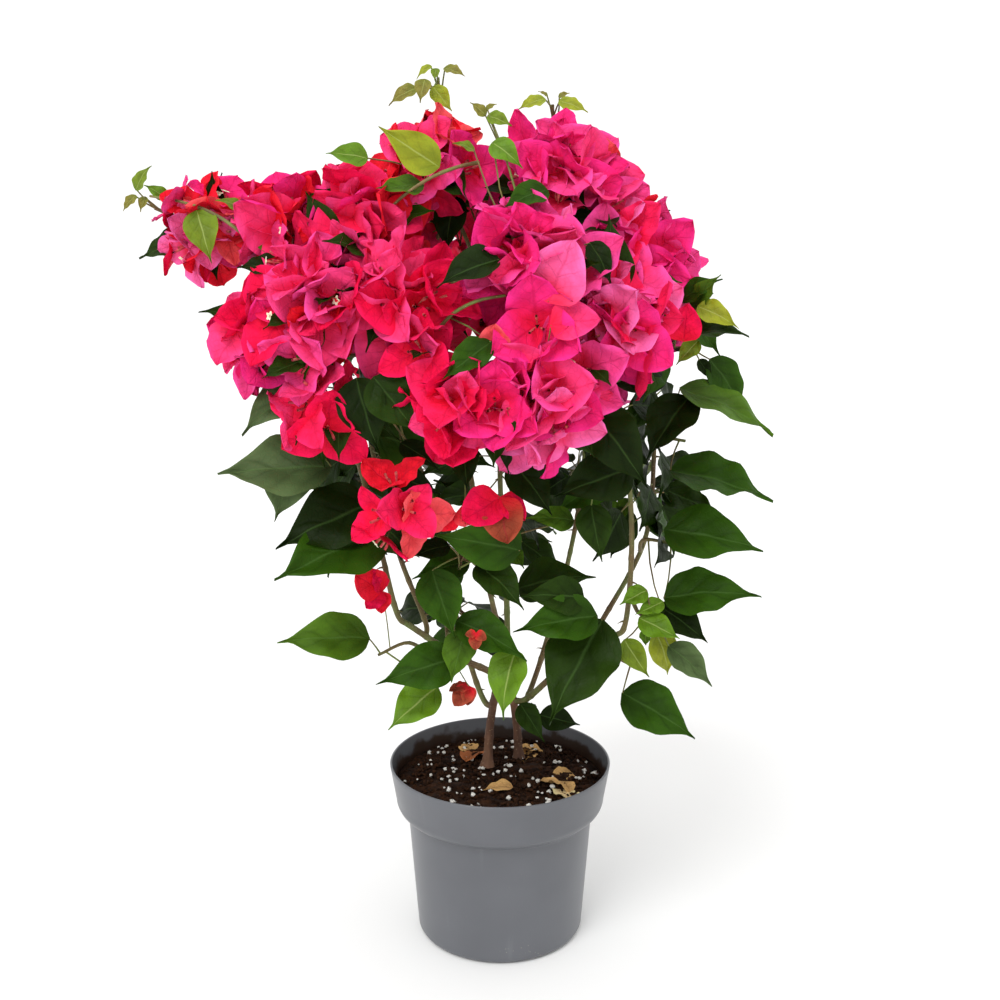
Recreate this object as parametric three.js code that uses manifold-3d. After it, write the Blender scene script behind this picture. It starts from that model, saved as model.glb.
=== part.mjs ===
// Bougainvillea bush in its nursery pot, with papery bracts over dark leaves on thin arching stems.
// Millimetres, +Z up, -Y is the front, and the origin is the centre of the pot's flat underside.

import * as THREE from 'three';
import { mergeVertices } from 'three/addons/utils/BufferGeometryUtils.js';
import Module from 'manifold-3d';

const wasm = await Module();
wasm.setup();

// ---------- Driving dimensions ----------

const CLEARANCE = 0.3; // air between neighbouring solids
const GUARD = 0.35; // how much fatter a spray is made when it is tested against its neighbours

const POT = {
  height: 137,
  rimRadius: 85,
  collarFootRadius: 80.5, // where the wide collar begins to round in to the body
  collarFootHeight: 109,
  bodyTopRadius: 71.5,
  bodyTopHeight: 99,
  footRadius: 64.5,
  footRounding: 5,
  wall: 1.8,
  floor: 3,
  sides: 36,
};
const MIX = { height: 120, crownHeight: 124, flatRadius: 42, sides: 32 };

const STEM_SIDES = 8;
const BOUGH_SIDES = 6;
const MASS_STEM_SIDES = 3;
const LIMB_STEP = 30; // length of one straight stretch of a limb
const STEM_STEP = 14; // the same in a woody stem
const COLLAR = 5; // a side limb leaves its parent at right angles for this far
const MASS_STEM = [1.7, 1.5]; // radii at its root and its tip
const CORE = 0.3; // half of the stretch of a mass's stem that twigs leave, as a share of the mass
const LEAFY_CORE = 13; // the same in a mass of leaves, in millimetres

const TWIG = [0.7, 0.7]; // radii at its root and its tip
const SHORTEST_TWIG = 9;
const STUB = 3; // the short foot that stands in for a spray's twig where only its blades are tested
const PETIOLE = 16; // stalk of a leaf of the usual length
const USUAL_LEAF = 50;
const TRIES = 16; // for each spray, to find a place that is clear of its neighbours
const SHRINK = 0.98; // each try is this much shorter than the last
const SWAY = [0.15, 0.06]; // radians that a spray leans aside, and how much more with each try

// Outlines run from base to tip, as [share of the length, share of the half width].
const LEAF = { width: 0.62, thickness: 0.035, sag: 0.16, cup: 0.07, outline: [[0.26, 1], [0.62, 0.74]] };
const LEAF_SPREAD = 0.22; // leaves vary in length by this share
const DROOP = [0.15, 0.75]; // how far leaves hang, from a little to much
const BRACT = {
  width: 0.84,
  notch: 0.16, // the rim between two bracts lies this share of their length from the hub
  cup: 0.1,
  curl: 0.12,
  hub: 3.2,
  outline: [[0.34, 0.86], [0.72, 0.84]],
};
const HUB_GUARD = 5; // a flower thins from its hub to its edge, so its guard is thicker at the hub
const BRACTS = 3; // round each flower
const BRACT_LENGTH = [30, 41];
const BRACT_INSIDE = 0.62; // a flower's hub lies this share of its bracts' length inside its space
const OPENING = [42, 70]; // degrees from a flower's axis to its bracts
const FLOWER_LEAN = 0.3; // radians that a flower's axis leans from the way it faces
const DEFAULT_SPREAD = 105;

const UP = new THREE.Vector3(0, 0, 1);
const SUN = new THREE.Vector3(-0.15, -0.75, 0.65).normalize(); // the light that the blades turn to
const SUN_PULL = 0.3; // how strongly flowers turn to it
const CROWN_HEART = new THREE.Vector3(-10, 20, 440); // masses face away from here
const CROWN_FLATNESS = 0.6; // and less up or down than a straight line from there would
const GOLDEN_ANGLE = Math.PI * (3 - Math.sqrt(5));

const LOOKS = {
  plastic: { color: 0x6b7076, roughness: 0.45 },
  mix: { color: 0x2b1a12, roughness: 1 },
  bark: { color: 0x7a5a42, roughness: 0.8 },
  greenBark: { color: 0x5f6b35, roughness: 0.7 },
  leaf: { color: 0x2f5a23, roughness: 0.5 },
  freshLeaf: { color: 0x86a832, roughness: 0.5 },
  bract: { color: 0xe3246f, roughness: 0.7 },
};

// Woody stems, from a flat cut at the potting mix to the fork. `flare` widens the foot.
const STEMS = [
  { name: 'stem_left',
    path: [[-10, 15, 124.5], [-8, 15, 155], [-3, 14, 190]], radii: [3.6, 2.8], flare: 1.6 },
  { name: 'stem_right',
    path: [[15, 30, 124.5], [13, 30, 155], [8, 29, 192]], radii: [3.4, 2.7], flare: 1.5 },
];

// Boughs, each from its parent at `share` of the parent's length, through `path` to its tip.
const BOUGHS = [
  { name: 'bough_left_low', on: 'stem_left', share: 1,
    path: [[-32, -6, 222], [-68, -36, 258]], radii: [2.6, 2.3] },
  { name: 'bough_left_front', on: 'bough_left_low', share: 1,
    path: [[-84, -52, 318], [-95, -60, 372], [-108, -66, 425], [-116, -72, 455]], radii: [2.1, 1.5] },
  { name: 'bough_left_back', on: 'bough_left_low', share: 0.8,
    path: [[-74, -8, 300], [-92, -14, 380], [-100, -14, 450], [-100, -20, 505]], radii: [2.0, 1.4] },
  { name: 'bough_arm', on: 'bough_left_back', share: 0.8,
    path: [[-135, -26, 500], [-160, -34, 516]], radii: [1.5, 1.2] },
  { name: 'bough_centre_front', on: 'stem_right', share: 0.9,
    path: [[-2, -14, 250], [-14, -50, 320], [-24, -66, 400], [-38, -74, 452]], radii: [2.3, 1.5] },
  { name: 'bough_centre_back', on: 'stem_right', share: 1,
    path: [[5, 38, 260], [0, 34, 360], [4, 18, 460], [8, 0, 525]], radii: [2.5, 1.4] },
  { name: 'bough_right_low', on: 'stem_right', share: 0.72,
    path: [[50, 8, 210], [86, -20, 244]], radii: [2.5, 2.2] },
  { name: 'bough_right_front', on: 'bough_right_low', share: 1,
    path: [[94, -40, 312], [90, -50, 366], [78, -60, 430], [70, -66, 462]], radii: [2.1, 1.5] },
  { name: 'bough_right_back', on: 'bough_right_low', share: 0.8,
    path: [[108, 2, 310], [114, 6, 372], [110, -2, 440], [98, -10, 495]], radii: [2.0, 1.4] },
  { name: 'bough_rear_left', on: 'stem_left', share: 0.75,
    path: [[-36, 50, 240], [-62, 68, 340], [-66, 72, 440], [-54, 60, 510]], radii: [2.3, 1.4] },
  { name: 'bough_rear_right', on: 'stem_right', share: 0.6,
    path: [[46, 66, 240], [66, 78, 340], [66, 78, 440], [52, 62, 510]], radii: [2.3, 1.4] },
];

// Masses. `at` is the heart, `size` the half-axes of the space that a mass fills with bracts, and
// `leaf` the mean length of its leaves. `face` overrides the way that a mass faces, and `spread`
// is the angle in degrees from there to its outermost sprays.
const MASSES = [
  // Young shoots that stand out of the crown.
  { name: 'shoot_arm', on: 'bough_arm', share: 1, at: [-226, -20, 547], leaves: 6, leaf: 20,
    face: [-0.9, -0.2, 0.4], spread: 120, fresh: true },
  { name: 'shoot_top_left', on: 'bough_left_back', share: 0.97, at: [-42, -14, 626], leaves: 6, leaf: 24,
    face: [0, -0.3, 1], spread: 110, fresh: true },
  { name: 'shoot_top_right', on: 'bough_centre_back', share: 1, at: [36, -8, 609], leaves: 6, leaf: 22,
    face: [0, -0.3, 1], spread: 110, fresh: true },

  // Bracts over the front.
  { name: 'bloom_arm', on: 'bough_arm', share: 0.85, at: [-192, -44, 530], size: [48, 30, 32], flowers: 9,
    leaves: 2, leaf: 32, face: [-0.3, -0.8, 0.1], spread: 115, bract: [24, 31] },
  { name: 'bloom_left_upper', on: 'bough_left_back', share: 0.92, at: [-138, -60, 545], size: [38, 36, 34],
    flowers: 6, leaves: 1 },
  { name: 'bloom_left_top', on: 'bough_left_back', share: 1, at: [-88, -70, 546], size: [40, 38, 38],
    flowers: 7, leaves: 1 },
  { name: 'bloom_left_low', on: 'bough_left_front', share: 0.96, at: [-158, -76, 474], size: [38, 38, 34],
    flowers: 7, leaves: 1 },
  { name: 'bloom_left_middle', on: 'bough_left_front', share: 1, at: [-112, -104, 494], size: [38, 38, 38],
    flowers: 7, leaves: 1 },
  { name: 'bloom_left_hanging', on: 'bough_left_front', share: 0.86, at: [-120, -108, 424],
    size: [32, 32, 40], flowers: 5, leaves: 1, face: [-0.3, -0.9, -0.2], spread: 95 },
  { name: 'bloom_middle', on: 'bough_centre_front', share: 0.95, at: [-58, -112, 492], size: [38, 38, 44],
    flowers: 7, leaves: 1 },
  { name: 'bloom_centre_left', on: 'bough_centre_front', share: 0.82, at: [-34, -128, 430],
    size: [32, 34, 34], flowers: 5, leaves: 1, face: [-0.1, -1, -0.1] },
  { name: 'bloom_hanging', on: 'bough_left_front', share: 0.5, at: [-66, -112, 362], size: [30, 30, 38],
    flowers: 5, leaves: 0, face: [0.1, -0.9, -0.2], spread: 90, bract: [26, 32] },
  { name: 'bloom_top_left', on: 'bough_centre_back', share: 0.88, at: [-42, -46, 578], size: [44, 40, 32],
    flowers: 9, leaves: 3, bract: [24, 34] },
  { name: 'bloom_top_right', on: 'bough_centre_back', share: 0.96, at: [38, -52, 566], size: [46, 44, 40],
    flowers: 9, leaves: 2 },
  { name: 'bloom_right_upper', on: 'bough_right_back', share: 1, at: [92, -52, 528], size: [42, 42, 42],
    flowers: 8, leaves: 1 },
  { name: 'bloom_right', on: 'bough_right_front', share: 0.96, at: [70, -102, 480], size: [42, 40, 36],
    flowers: 7, leaves: 1 },
  { name: 'bloom_centre_high', on: 'bough_centre_front', share: 1, at: [10, -104, 520], size: [38, 38, 36],
    flowers: 7, leaves: 2 },
  { name: 'bloom_centre_low', on: 'bough_right_front', share: 0.88, at: [26, -124, 434], size: [44, 40, 46],
    flowers: 8, leaves: 0 },

  // Bracts over the back.
  { name: 'bloom_rear_top_left', on: 'bough_rear_left', share: 1, at: [-50, 30, 556], size: [50, 50, 42],
    flowers: 7, leaves: 1 },
  { name: 'bloom_rear_top_right', on: 'bough_rear_right', share: 1, at: [46, 32, 552], size: [50, 50, 42],
    flowers: 7, leaves: 1 },
  { name: 'bloom_rear_left', on: 'bough_rear_left', share: 0.88, at: [-116, 36, 492], size: [50, 52, 48],
    flowers: 7, leaves: 2 },
  { name: 'bloom_rear_right', on: 'bough_rear_right', share: 0.88, at: [106, 40, 486], size: [48, 52, 48],
    flowers: 7, leaves: 2 },
  { name: 'bloom_rear_middle', on: 'bough_rear_right', share: 0.94, at: [0, 94, 498], size: [52, 44, 50],
    flowers: 7, leaves: 2 },
  { name: 'bloom_rear_low_left', on: 'bough_rear_left', share: 0.76, at: [-72, 98, 430], size: [46, 42, 44],
    flowers: 6, leaves: 2 },
  { name: 'bloom_rear_low_right', on: 'bough_rear_right', share: 0.76, at: [66, 104, 424], size: [46, 42, 44],
    flowers: 6, leaves: 2 },

  // Leaves on the left side.
  { name: 'leaves_left_high', on: 'bough_left_front', share: 0.7, at: [-124, -74, 412], leaves: 5, leaf: 64,
    face: [-0.9, -0.4, -0.15], spread: 75 },
  { name: 'leaves_left_low', on: 'bough_left_front', share: 0.34, at: [-98, -66, 356], leaves: 4, leaf: 74,
    face: [-0.8, -0.5, -0.15], spread: 70 },
  { name: 'leaves_left_foot', on: 'bough_left_low', share: 0.72, at: [-78, -40, 240], leaves: 4, leaf: 58,
    face: [-0.75, -0.45, -0.2], spread: 80, flowers: 1, bract: [15, 17], size: [46, 40, 46] },
  { name: 'leaves_left_flank', on: 'bough_left_back', share: 0.4, at: [-104, 24, 348], leaves: 6, leaf: 60,
    face: [-0.8, 0.5, -0.1], spread: 100 },
  // Leaves in the middle and at the foot.
  { name: 'leaves_mid_dark', on: 'bough_left_front', share: 0.6, at: [-66, -72, 400], leaves: 5, leaf: 56,
    face: [0.35, -0.8, -0.1], spread: 85 },
  { name: 'leaves_front_middle', on: 'bough_centre_front', share: 0.5, at: [-26, -84, 318],
    leaves: 6, leaf: 54, face: [-0.1, -0.9, -0.2], spread: 100,
    flowers: 2, bract: [20, 24], size: [46, 40, 40] },
  { name: 'leaves_front_low', on: 'bough_left_low', share: 0.45, at: [-38, -50, 258], leaves: 6, leaf: 48,
    face: [0.05, -0.9, -0.3], spread: 95, flowers: 2, bract: [12, 14], size: [50, 40, 34] },
  { name: 'leaves_front_right', on: 'bough_right_low', share: 0.55, at: [46, -44, 272], leaves: 7, leaf: 58,
    face: [-0.1, -0.9, -0.1], spread: 100 },
  { name: 'leaves_foot', on: 'stem_right', share: 0.5, at: [22, 4, 166], leaves: 3, leaf: 28,
    face: [0.4, -0.8, 0.2], spread: 70 },
  { name: 'leaves_under_bloom', on: 'bough_right_front', share: 0.62, at: [62, -84, 392], leaves: 6, leaf: 60,
    face: [-0.1, -0.9, -0.1], spread: 90 },
  // Leaves on the right side.
  { name: 'leaves_right_foot', on: 'bough_right_low', share: 0.92, at: [96, -34, 226], leaves: 4, leaf: 56,
    face: [0.85, -0.3, -0.4], spread: 60 },
  { name: 'leaves_right_fresh', on: 'bough_right_front', share: 0.16, at: [104, -52, 268],
    leaves: 8, leaf: 32, face: [0.4, -0.85, -0.1], spread: 110, fresh: true },
  { name: 'leaves_right_middle', on: 'bough_right_back', share: 0.3, at: [116, -24, 316], leaves: 5, leaf: 60,
    face: [0.85, -0.5, 0], spread: 75 },
  { name: 'leaves_right_flank', on: 'bough_right_back', share: 0.42, at: [116, 38, 340], leaves: 6, leaf: 58,
    face: [0.7, 0.7, -0.1], spread: 100 },
  { name: 'leaves_right_high', on: 'bough_right_back', share: 0.58, at: [120, -24, 392], leaves: 6, leaf: 60,
    face: [0.85, -0.45, -0.05], spread: 80 },
  { name: 'leaves_right_tip', on: 'bough_right_back', share: 0.82, at: [128, -24, 456], leaves: 6, leaf: 46,
    face: [0.9, -0.3, 0.1], spread: 90 },
  // Leaves at the back.
  { name: 'leaves_rear_left', on: 'bough_rear_left', share: 0.5, at: [-68, 98, 346], leaves: 7, leaf: 58,
    face: [-0.4, 0.9, -0.1], spread: 100 },
  { name: 'leaves_rear_right', on: 'bough_rear_right', share: 0.5, at: [66, 106, 344], leaves: 7, leaf: 58,
    face: [0.4, 0.9, -0.1], spread: 100 },
  { name: 'leaves_rear_low', on: 'bough_rear_left', share: 0.16, at: [-34, 64, 236], leaves: 6, leaf: 54,
    face: [-0.3, 0.9, -0.2], spread: 95 },
  { name: 'leaves_rear_middle', on: 'bough_centre_back', share: 0.42, at: [2, 66, 300], leaves: 6, leaf: 56,
    face: [0, 1, 0], spread: 90 },
];

// ---------- Small helpers ----------

const vector = (xyz) => new THREE.Vector3(...xyz);
const radians = THREE.MathUtils.degToRad;
const blend = THREE.MathUtils.lerp;

/** Seeded numbers from 0 to 1. */
function seeded(seed) {
  let state = (seed * 2654435761) % 4294967296;
  return () => {
    state = (state * 1664525 + 1013904223) % 4294967296;
    return state / 4294967296;
  };
}

/** The part of `v` at right angles to `axis`, at length 1. */
function across(v, axis) {
  return v.clone().addScaledVector(axis, -v.dot(axis)).normalize();
}

/** Two unit vectors at right angles to `axis` and to each other. */
function basis(axis) {
  const reference = Math.abs(axis.z) < 0.9 ? UP : new THREE.Vector3(1, 0, 0);
  const u = new THREE.Vector3().crossVectors(reference, axis).normalize();
  return [u, new THREE.Vector3().crossVectors(axis, u)];
}

/** Moves every vertex of a geometry to where `place` says. */
function reshape(geometry, place) {
  const position = geometry.attributes.position;
  const v = new THREE.Vector3();
  for (let i = 0; i < position.count; i += 1) {
    const moved = place(v.fromBufferAttribute(position, i));
    position.setXYZ(i, moved.x, moved.y, moved.z);
  }
  return geometry;
}

/** A closed geometry as a solid, without the faces that its shape has drawn together to a line. */
function solidOf(geometry) {
  const bare = geometry.clone();
  bare.deleteAttribute('normal');
  bare.deleteAttribute('uv');
  const merged = mergeVertices(bare, 1e-4);
  const faces = [];
  for (let i = 0; i < merged.index.count; i += 3) {
    const [a, b, c] = merged.index.array.slice(i, i + 3);
    if (a !== b && b !== c && c !== a) faces.push(a, b, c);
  }
  return new wasm.Manifold(new wasm.Mesh({
    numProp: 3,
    vertProperties: merged.attributes.position.array,
    triVerts: new Uint32Array(faces),
  }));
}

/** A solid as a geometry. */
function geometryOf(solid) {
  const mesh = solid.getMesh();
  return new THREE.BufferGeometry()
    .setAttribute('position', new THREE.BufferAttribute(mesh.vertProperties, 3))
    .setIndex(new THREE.BufferAttribute(mesh.triVerts, 1));
}

// ---------- Pot ----------

function lathe(profile, sides) {
  const points = profile.map(([radius, height]) => new THREE.Vector2(radius, height));
  return new THREE.LatheGeometry(points, sides).rotateX(Math.PI / 2);
}

/** The pot's inner radius at a height, in the body below the collar. */
function innerRadius(height) {
  return blend(POT.footRadius, POT.bodyTopRadius, height / POT.bodyTopHeight) - POT.wall;
}

/** A quarter of an ellipse in a profile, from below its centre round to beside it. */
function quarter([radius, height], [width, drop], steps) {
  return Array.from({ length: steps + 1 }, (_, i) => {
    const turn = (i * Math.PI) / (2 * steps);
    return [radius + width * Math.sin(turn), height - drop * Math.cos(turn)];
  });
}

function potGeometry() {
  const { wall, footRounding } = POT;
  const collarRounding = [POT.collarFootRadius - POT.bodyTopRadius, POT.collarFootHeight - POT.bodyTopHeight];
  return lathe([
    [0, 0],
    ...quarter([POT.footRadius - footRounding, footRounding], [footRounding, footRounding], 2),
    ...quarter([POT.bodyTopRadius, POT.collarFootHeight], collarRounding, 3),
    [POT.rimRadius, POT.height],
    [POT.rimRadius - wall, POT.height],
    [POT.collarFootRadius - wall, POT.collarFootHeight],
    [POT.bodyTopRadius - wall, POT.bodyTopHeight + wall],
    [innerRadius(POT.floor), POT.floor],
    [0, POT.floor],
  ], POT.sides);
}

/** The potting mix fills the pot to below the rim and rises a little round the stems. */
function mixGeometry() {
  const gap = CLEARANCE / Math.cos(Math.PI / MIX.sides) + POT.rimRadius * (1 - Math.cos(Math.PI / POT.sides));
  const collarSlope = (POT.rimRadius - POT.collarFootRadius) / (POT.height - POT.collarFootHeight);
  const edge = POT.collarFootRadius - POT.wall + collarSlope * (MIX.height - POT.collarFootHeight);
  return lathe([
    [0, POT.floor + CLEARANCE],
    [innerRadius(POT.floor) - gap, POT.floor + CLEARANCE],
    [POT.bodyTopRadius - POT.wall - gap, POT.bodyTopHeight + POT.wall],
    [POT.collarFootRadius - POT.wall - gap, POT.collarFootHeight + CLEARANCE],
    [edge - gap, MIX.height],
    [MIX.flatRadius, MIX.crownHeight],
    [0, MIX.crownHeight],
  ], MIX.sides);
}

// ---------- Limbs ----------

/** A tapering limb along a curve, drawn in straight stretches. `flare` widens its foot. */
function limbAlong(curve, radii, flare = 1) {
  const steps = Math.max(2, Math.round(curve.getLength() / (flare > 1 ? STEM_STEP : LIMB_STEP)));
  const points = curve.getSpacedPoints(steps);
  const stretch = (share) => Math.min(Math.floor(share * steps), steps - 1);
  return {
    curve,
    steps,
    radiusAt: (share) => blend(...radii, share) * (1 + (flare - 1) * Math.max(0, 1 - share * steps)),
    pointAt: (share) => points[stretch(share)].clone()
      .lerp(points[stretch(share) + 1], share * steps - stretch(share)),
    directionAt: (share) => points[stretch(share) + 1].clone().sub(points[stretch(share)]).normalize(),
  };
}

/** The solid of a limb: a closed cylinder bent along its curve. */
function limbSolid({ curve, radiusAt, steps }, sides) {
  const frames = curve.computeFrenetFrames(steps, false);
  return solidOf(reshape(new THREE.CylinderGeometry(1, 1, 1, sides, steps), (v) => {
    const share = v.y + 0.5;
    const step = Math.round(share * steps);
    return curve.getPointAt(share)
      .addScaledVector(frames.binormals[step], v.x * radiusAt(share))
      .addScaledVector(frames.normals[step], v.z * radiusAt(share));
  }));
}

/** A limb that leaves its parent's tip along it, or its parent's side at right angles. */
function offshoot(parent, share, path, radii) {
  const point = parent.pointAt(share);
  const towards = path[0].clone().sub(point);
  const fromTip = share === 1;
  const out = fromTip ? parent.curve.getTangentAt(1) : across(towards, parent.directionAt(share));
  const radius = fromTip ? 0 : parent.radiusAt(share);
  const start = point.addScaledVector(out, radius + CLEARANCE);
  const collar = start.clone().addScaledVector(out, Math.min(COLLAR, towards.length() / 3));
  return limbAlong(new THREE.CatmullRomCurve3([start, collar, ...path]), radii);
}

// ---------- Leaves and flowers on their twigs ----------

/**
 * A leaf on its stalk: a four-sided cone whose bands are the stalk from `from`, and the blade from
 * `root` to its tip. The blade folds up from its midrib and its end sags.
 */
function leafSolid({ from, root, axis, face, length }, guard) {
  const side = new THREE.Vector3().crossVectors(axis, face);
  const [foot, neck] = TWIG.map((radius) => radius + guard);
  const bladeAt = (share, sidewise, lift) => root.clone()
    .addScaledVector(axis, share * length)
    .addScaledVector(side, sidewise)
    .addScaledVector(face, lift - LEAF.sag * length * share ** 3);
  const blade = LEAF.outline.map(([share, breadth]) => {
    const halfWidth = (breadth * LEAF.width * length) / 2 + guard;
    const halfThickness = (breadth * LEAF.thickness * length) / 2 + guard;
    return (x, z) => bladeAt(share, x * halfWidth, Math.abs(x) * LEAF.cup * length + z * halfThickness);
  });
  const sections = [
    (x, z) => from.clone().addScaledVector(side, x * foot).addScaledVector(face, z * foot),
    (x, z) => bladeAt(0, x * neck, z * neck),
    ...blade,
    () => bladeAt(1 + guard / length, 0, 0),
  ];
  const bands = sections.length - 1;
  return solidOf(reshape(new THREE.ConeGeometry(1, 1, 4, bands), (v) => {
    const section = sections[Math.round((v.y + 0.5) * bands)];
    const turn = Math.atan2(v.x, v.z);
    return Math.hypot(v.x, v.z) < 1e-6 ? section(0, 0) : section(Math.sin(turn), Math.cos(turn));
  }));
}

/**
 * A flower's bracts and twig in one closed skin: a sphere of four bands, with the hub at one pole
 * and the foot of the twig at the other. The first ring is drawn out into blades that rise round
 * the axis, each with a notch before it. The other rings draw together to the twig's corners.
 */
function flowerSolid({ from, root, axis, roll, opening, length }, guard) {
  const [u, v] = basis(axis);
  const halfHub = BRACT.hub / 2 + HUB_GUARD * guard;
  const [foot, neck] = TWIG.map((radius) => radius + guard);
  const off = (turn, rise, reach) => axis.clone().multiplyScalar(Math.cos(rise) * reach)
    .addScaledVector(u, Math.cos(turn) * Math.sin(rise) * reach)
    .addScaledVector(v, Math.sin(turn) * Math.sin(rise) * reach);
  const turns = Array.from({ length: BRACTS }, (_, i) => roll + (i * 2 * Math.PI) / BRACTS);
  const edge = (turn, sign) => BRACT.outline.map(([share, breadth]) => off(turn, opening, share * length)
    .add(off(turn, opening - Math.PI / 2, BRACT.cup * length))
    .add(off(turn + Math.PI / 2, Math.PI / 2, sign * ((breadth * BRACT.width * length) / 2 + guard))));
  const rim = turns.flatMap((turn) => [
    off(turn - Math.PI / BRACTS, opening, BRACT.notch * length + guard),
    ...edge(turn, -1),
    off(turn, opening + BRACT.curl, length + guard),
    ...edge(turn, 1).reverse(),
  ].map((point) => point.add(root)));
  const cornersAt = (centre, radius) => turns.map((turn) => off(turn, Math.PI / 2, radius).add(centre));
  const top = root.clone().addScaledVector(axis, halfHub);
  const collar = cornersAt(root.clone().addScaledVector(axis, -halfHub), neck);
  const base = cornersAt(from, foot);
  const around = rim.length;
  const bands = 4;
  return solidOf(reshape(new THREE.SphereGeometry(1, around, bands), ({ x, y, z }) => {
    const ring = Math.round((Math.acos(THREE.MathUtils.clamp(y, -1, 1)) * bands) / Math.PI);
    const place = (Math.round((Math.atan2(z, -x) * around) / (2 * Math.PI)) + around) % around;
    const corner = Math.floor((place * BRACTS) / around);
    return [top, rim[place], collar[corner], base[corner], from][ring];
  }));
}

// ---------- The rule that a mass grows by ----------

/** The directions of `count` sprays, on a golden spiral over a cap round `face`. */
function sprayDirections(face, spread, count, random) {
  const [u, v] = basis(face);
  const phase = random() * 2 * Math.PI;
  return Array.from({ length: count }, (_, i) => {
    const height = 1 - (1 - Math.cos(radians(spread))) * ((i + 0.5) / count);
    const ring = Math.sqrt(1 - height * height);
    const turn = phase + i * GOLDEN_ANGLE;
    return face.clone().multiplyScalar(height)
      .addScaledVector(u, ring * Math.cos(turn))
      .addScaledVector(v, ring * Math.sin(turn));
  });
}

/** How far the mass's space reaches from its heart in a direction. */
function reachOf(size, direction) {
  return 1 / Math.hypot(direction.x / size[0], direction.y / size[1], direction.z / size[2]);
}

/** A direction turned a little aside, by up to about `amount` radians. */
function swayed(direction, amount, random) {
  const aside = new THREE.Vector3(random() - 0.5, random() - 0.5, random() - 0.5);
  return direction.clone().addScaledVector(aside, 2 * amount).normalize();
}

function flowerIn(mass, heart, from, direction, attempt, random) {
  const scale = SHRINK ** attempt;
  const length = scale * blend(...(mass.bract ?? BRACT_LENGTH), random());
  const towards = swayed(direction, SWAY[0] + attempt * SWAY[1], random);
  const reach = scale * reachOf(mass.size, towards) - BRACT_INSIDE * length;
  return {
    from,
    root: heart.clone().addScaledVector(towards, Math.max(SHORTEST_TWIG, reach)),
    axis: swayed(towards, FLOWER_LEAN, random).addScaledVector(SUN, SUN_PULL).normalize(),
    roll: random() * 2 * Math.PI,
    opening: radians(blend(...OPENING, random())),
    length,
  };
}

function leafIn(mass, heart, from, direction, attempt, random) {
  const leafLength = (mass.leaf ?? USUAL_LEAF) * (1 + LEAF_SPREAD * (2 * random() - 1));
  const length = leafLength * SHRINK ** attempt;
  const towards = swayed(direction, SWAY[0] + attempt * SWAY[1], random);
  const axis = towards.clone().addScaledVector(UP, -blend(...DROOP, random())).normalize();
  const wanted = SUN.clone().addScaledVector(direction, 0.35).addScaledVector(UP, 0.25);
  return {
    from,
    root: from.clone().addScaledVector(towards, PETIOLE * Math.min(1, length / USUAL_LEAF)),
    axis,
    face: across(wanted, axis),
    length,
  };
}

/** The way that a mass faces, and half of the stretch of its stem that bears twigs. */
function poseOf(mass) {
  const heart = vector(mass.at);
  const outward = heart.clone().sub(CROWN_HEART);
  outward.z *= CROWN_FLATNESS;
  const face = (mass.face ? vector(mass.face) : outward).normalize();
  const core = mass.flowers ? CORE * Math.min(...mass.size) : LEAFY_CORE;
  return { heart, face, core };
}

// ---------- Assembly ----------

const limbs = new Map();
const solids = new Map(); // every solid so far by name, with its box, for the tests of clearance

function boxOf(geometry) {
  geometry.computeBoundingBox();
  return geometry.boundingBox;
}

function settle(name, solid) {
  solids.set(name, { solid, box: boxOf(geometryOf(solid)) });
}

/** Whether a solid keeps clear of all the others, apart from its own mass. */
function isClear(solid, ownName) {
  const box = boxOf(geometryOf(solid));
  return [...solids].every(([name, other]) => name === ownName || !box.intersectsBox(other.box)
    || solid.intersect(other.solid).getMesh().triVerts.length === 0);
}

function addLimb(name, limb, sides) {
  const solid = limbSolid(limb, sides);
  if (!isClear(solid, name)) throw new Error(`${name} touches another limb`);
  limbs.set(name, limb);
  settle(name, solid);
}

/** Fuses on each of a mass's flowers and leaves that finds a clear place within its tries. */
function dress(mass, index) {
  const random = seeded(index + 1);
  const { heart, face, core } = poseOf(mass);
  const stem = limbs.get(mass.name);
  const bare = (2 * core) / stem.curve.getLength();
  let { solid } = solids.get(mass.name);
  const grow = (count = 0, sprayIn, sprayOf) => {
    sprayDirections(face, mass.spread ?? DEFAULT_SPREAD, count, random).forEach((direction, i) => {
      const from = stem.pointAt(1 - (bare * (i + 0.5)) / count);
      for (let attempt = 0; attempt < TRIES; attempt += 1) {
        const spray = sprayIn(mass, heart, from, direction, attempt, random);
        const stub = spray.root.clone().addScaledVector(spray.axis, -STUB);
        const blades = sprayOf({ ...spray, from: stub }, GUARD);
        if (isClear(blades) && isClear(sprayOf(spray, GUARD), mass.name)) {
          solid = solid.add(sprayOf(spray, 0));
          settle(mass.name, solid);
          return;
        }
      }
    });
  };
  grow(mass.flowers, flowerIn, flowerSolid);
  grow(mass.leaves, leafIn, leafSolid);
}

function meshOf(name, look) {
  const material = new THREE.MeshStandardMaterial({ ...look, metalness: 0 });
  const mesh = new THREE.Mesh(geometryOf(solids.get(name).solid), material);
  mesh.name = name;
  return mesh;
}

settle('pot', solidOf(potGeometry()));
settle('potting_mix', solidOf(mixGeometry()));
STEMS.forEach(({ name, path, radii, flare }) => {
  addLimb(name, limbAlong(new THREE.CatmullRomCurve3(path.map(vector)), radii, flare), STEM_SIDES);
});
BOUGHS.forEach(({ name, on, share, path, radii }) => {
  addLimb(name, offshoot(limbs.get(on), share, path.map(vector), radii), BOUGH_SIDES);
});
MASSES.forEach((mass) => {
  const { heart, face, core } = poseOf(mass);
  const ends = [-core, core].map((offset) => heart.clone().addScaledVector(face, offset));
  addLimb(mass.name, offshoot(limbs.get(mass.on), mass.share, ends, MASS_STEM), MASS_STEM_SIDES);
});
MASSES.forEach(dress);

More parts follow.
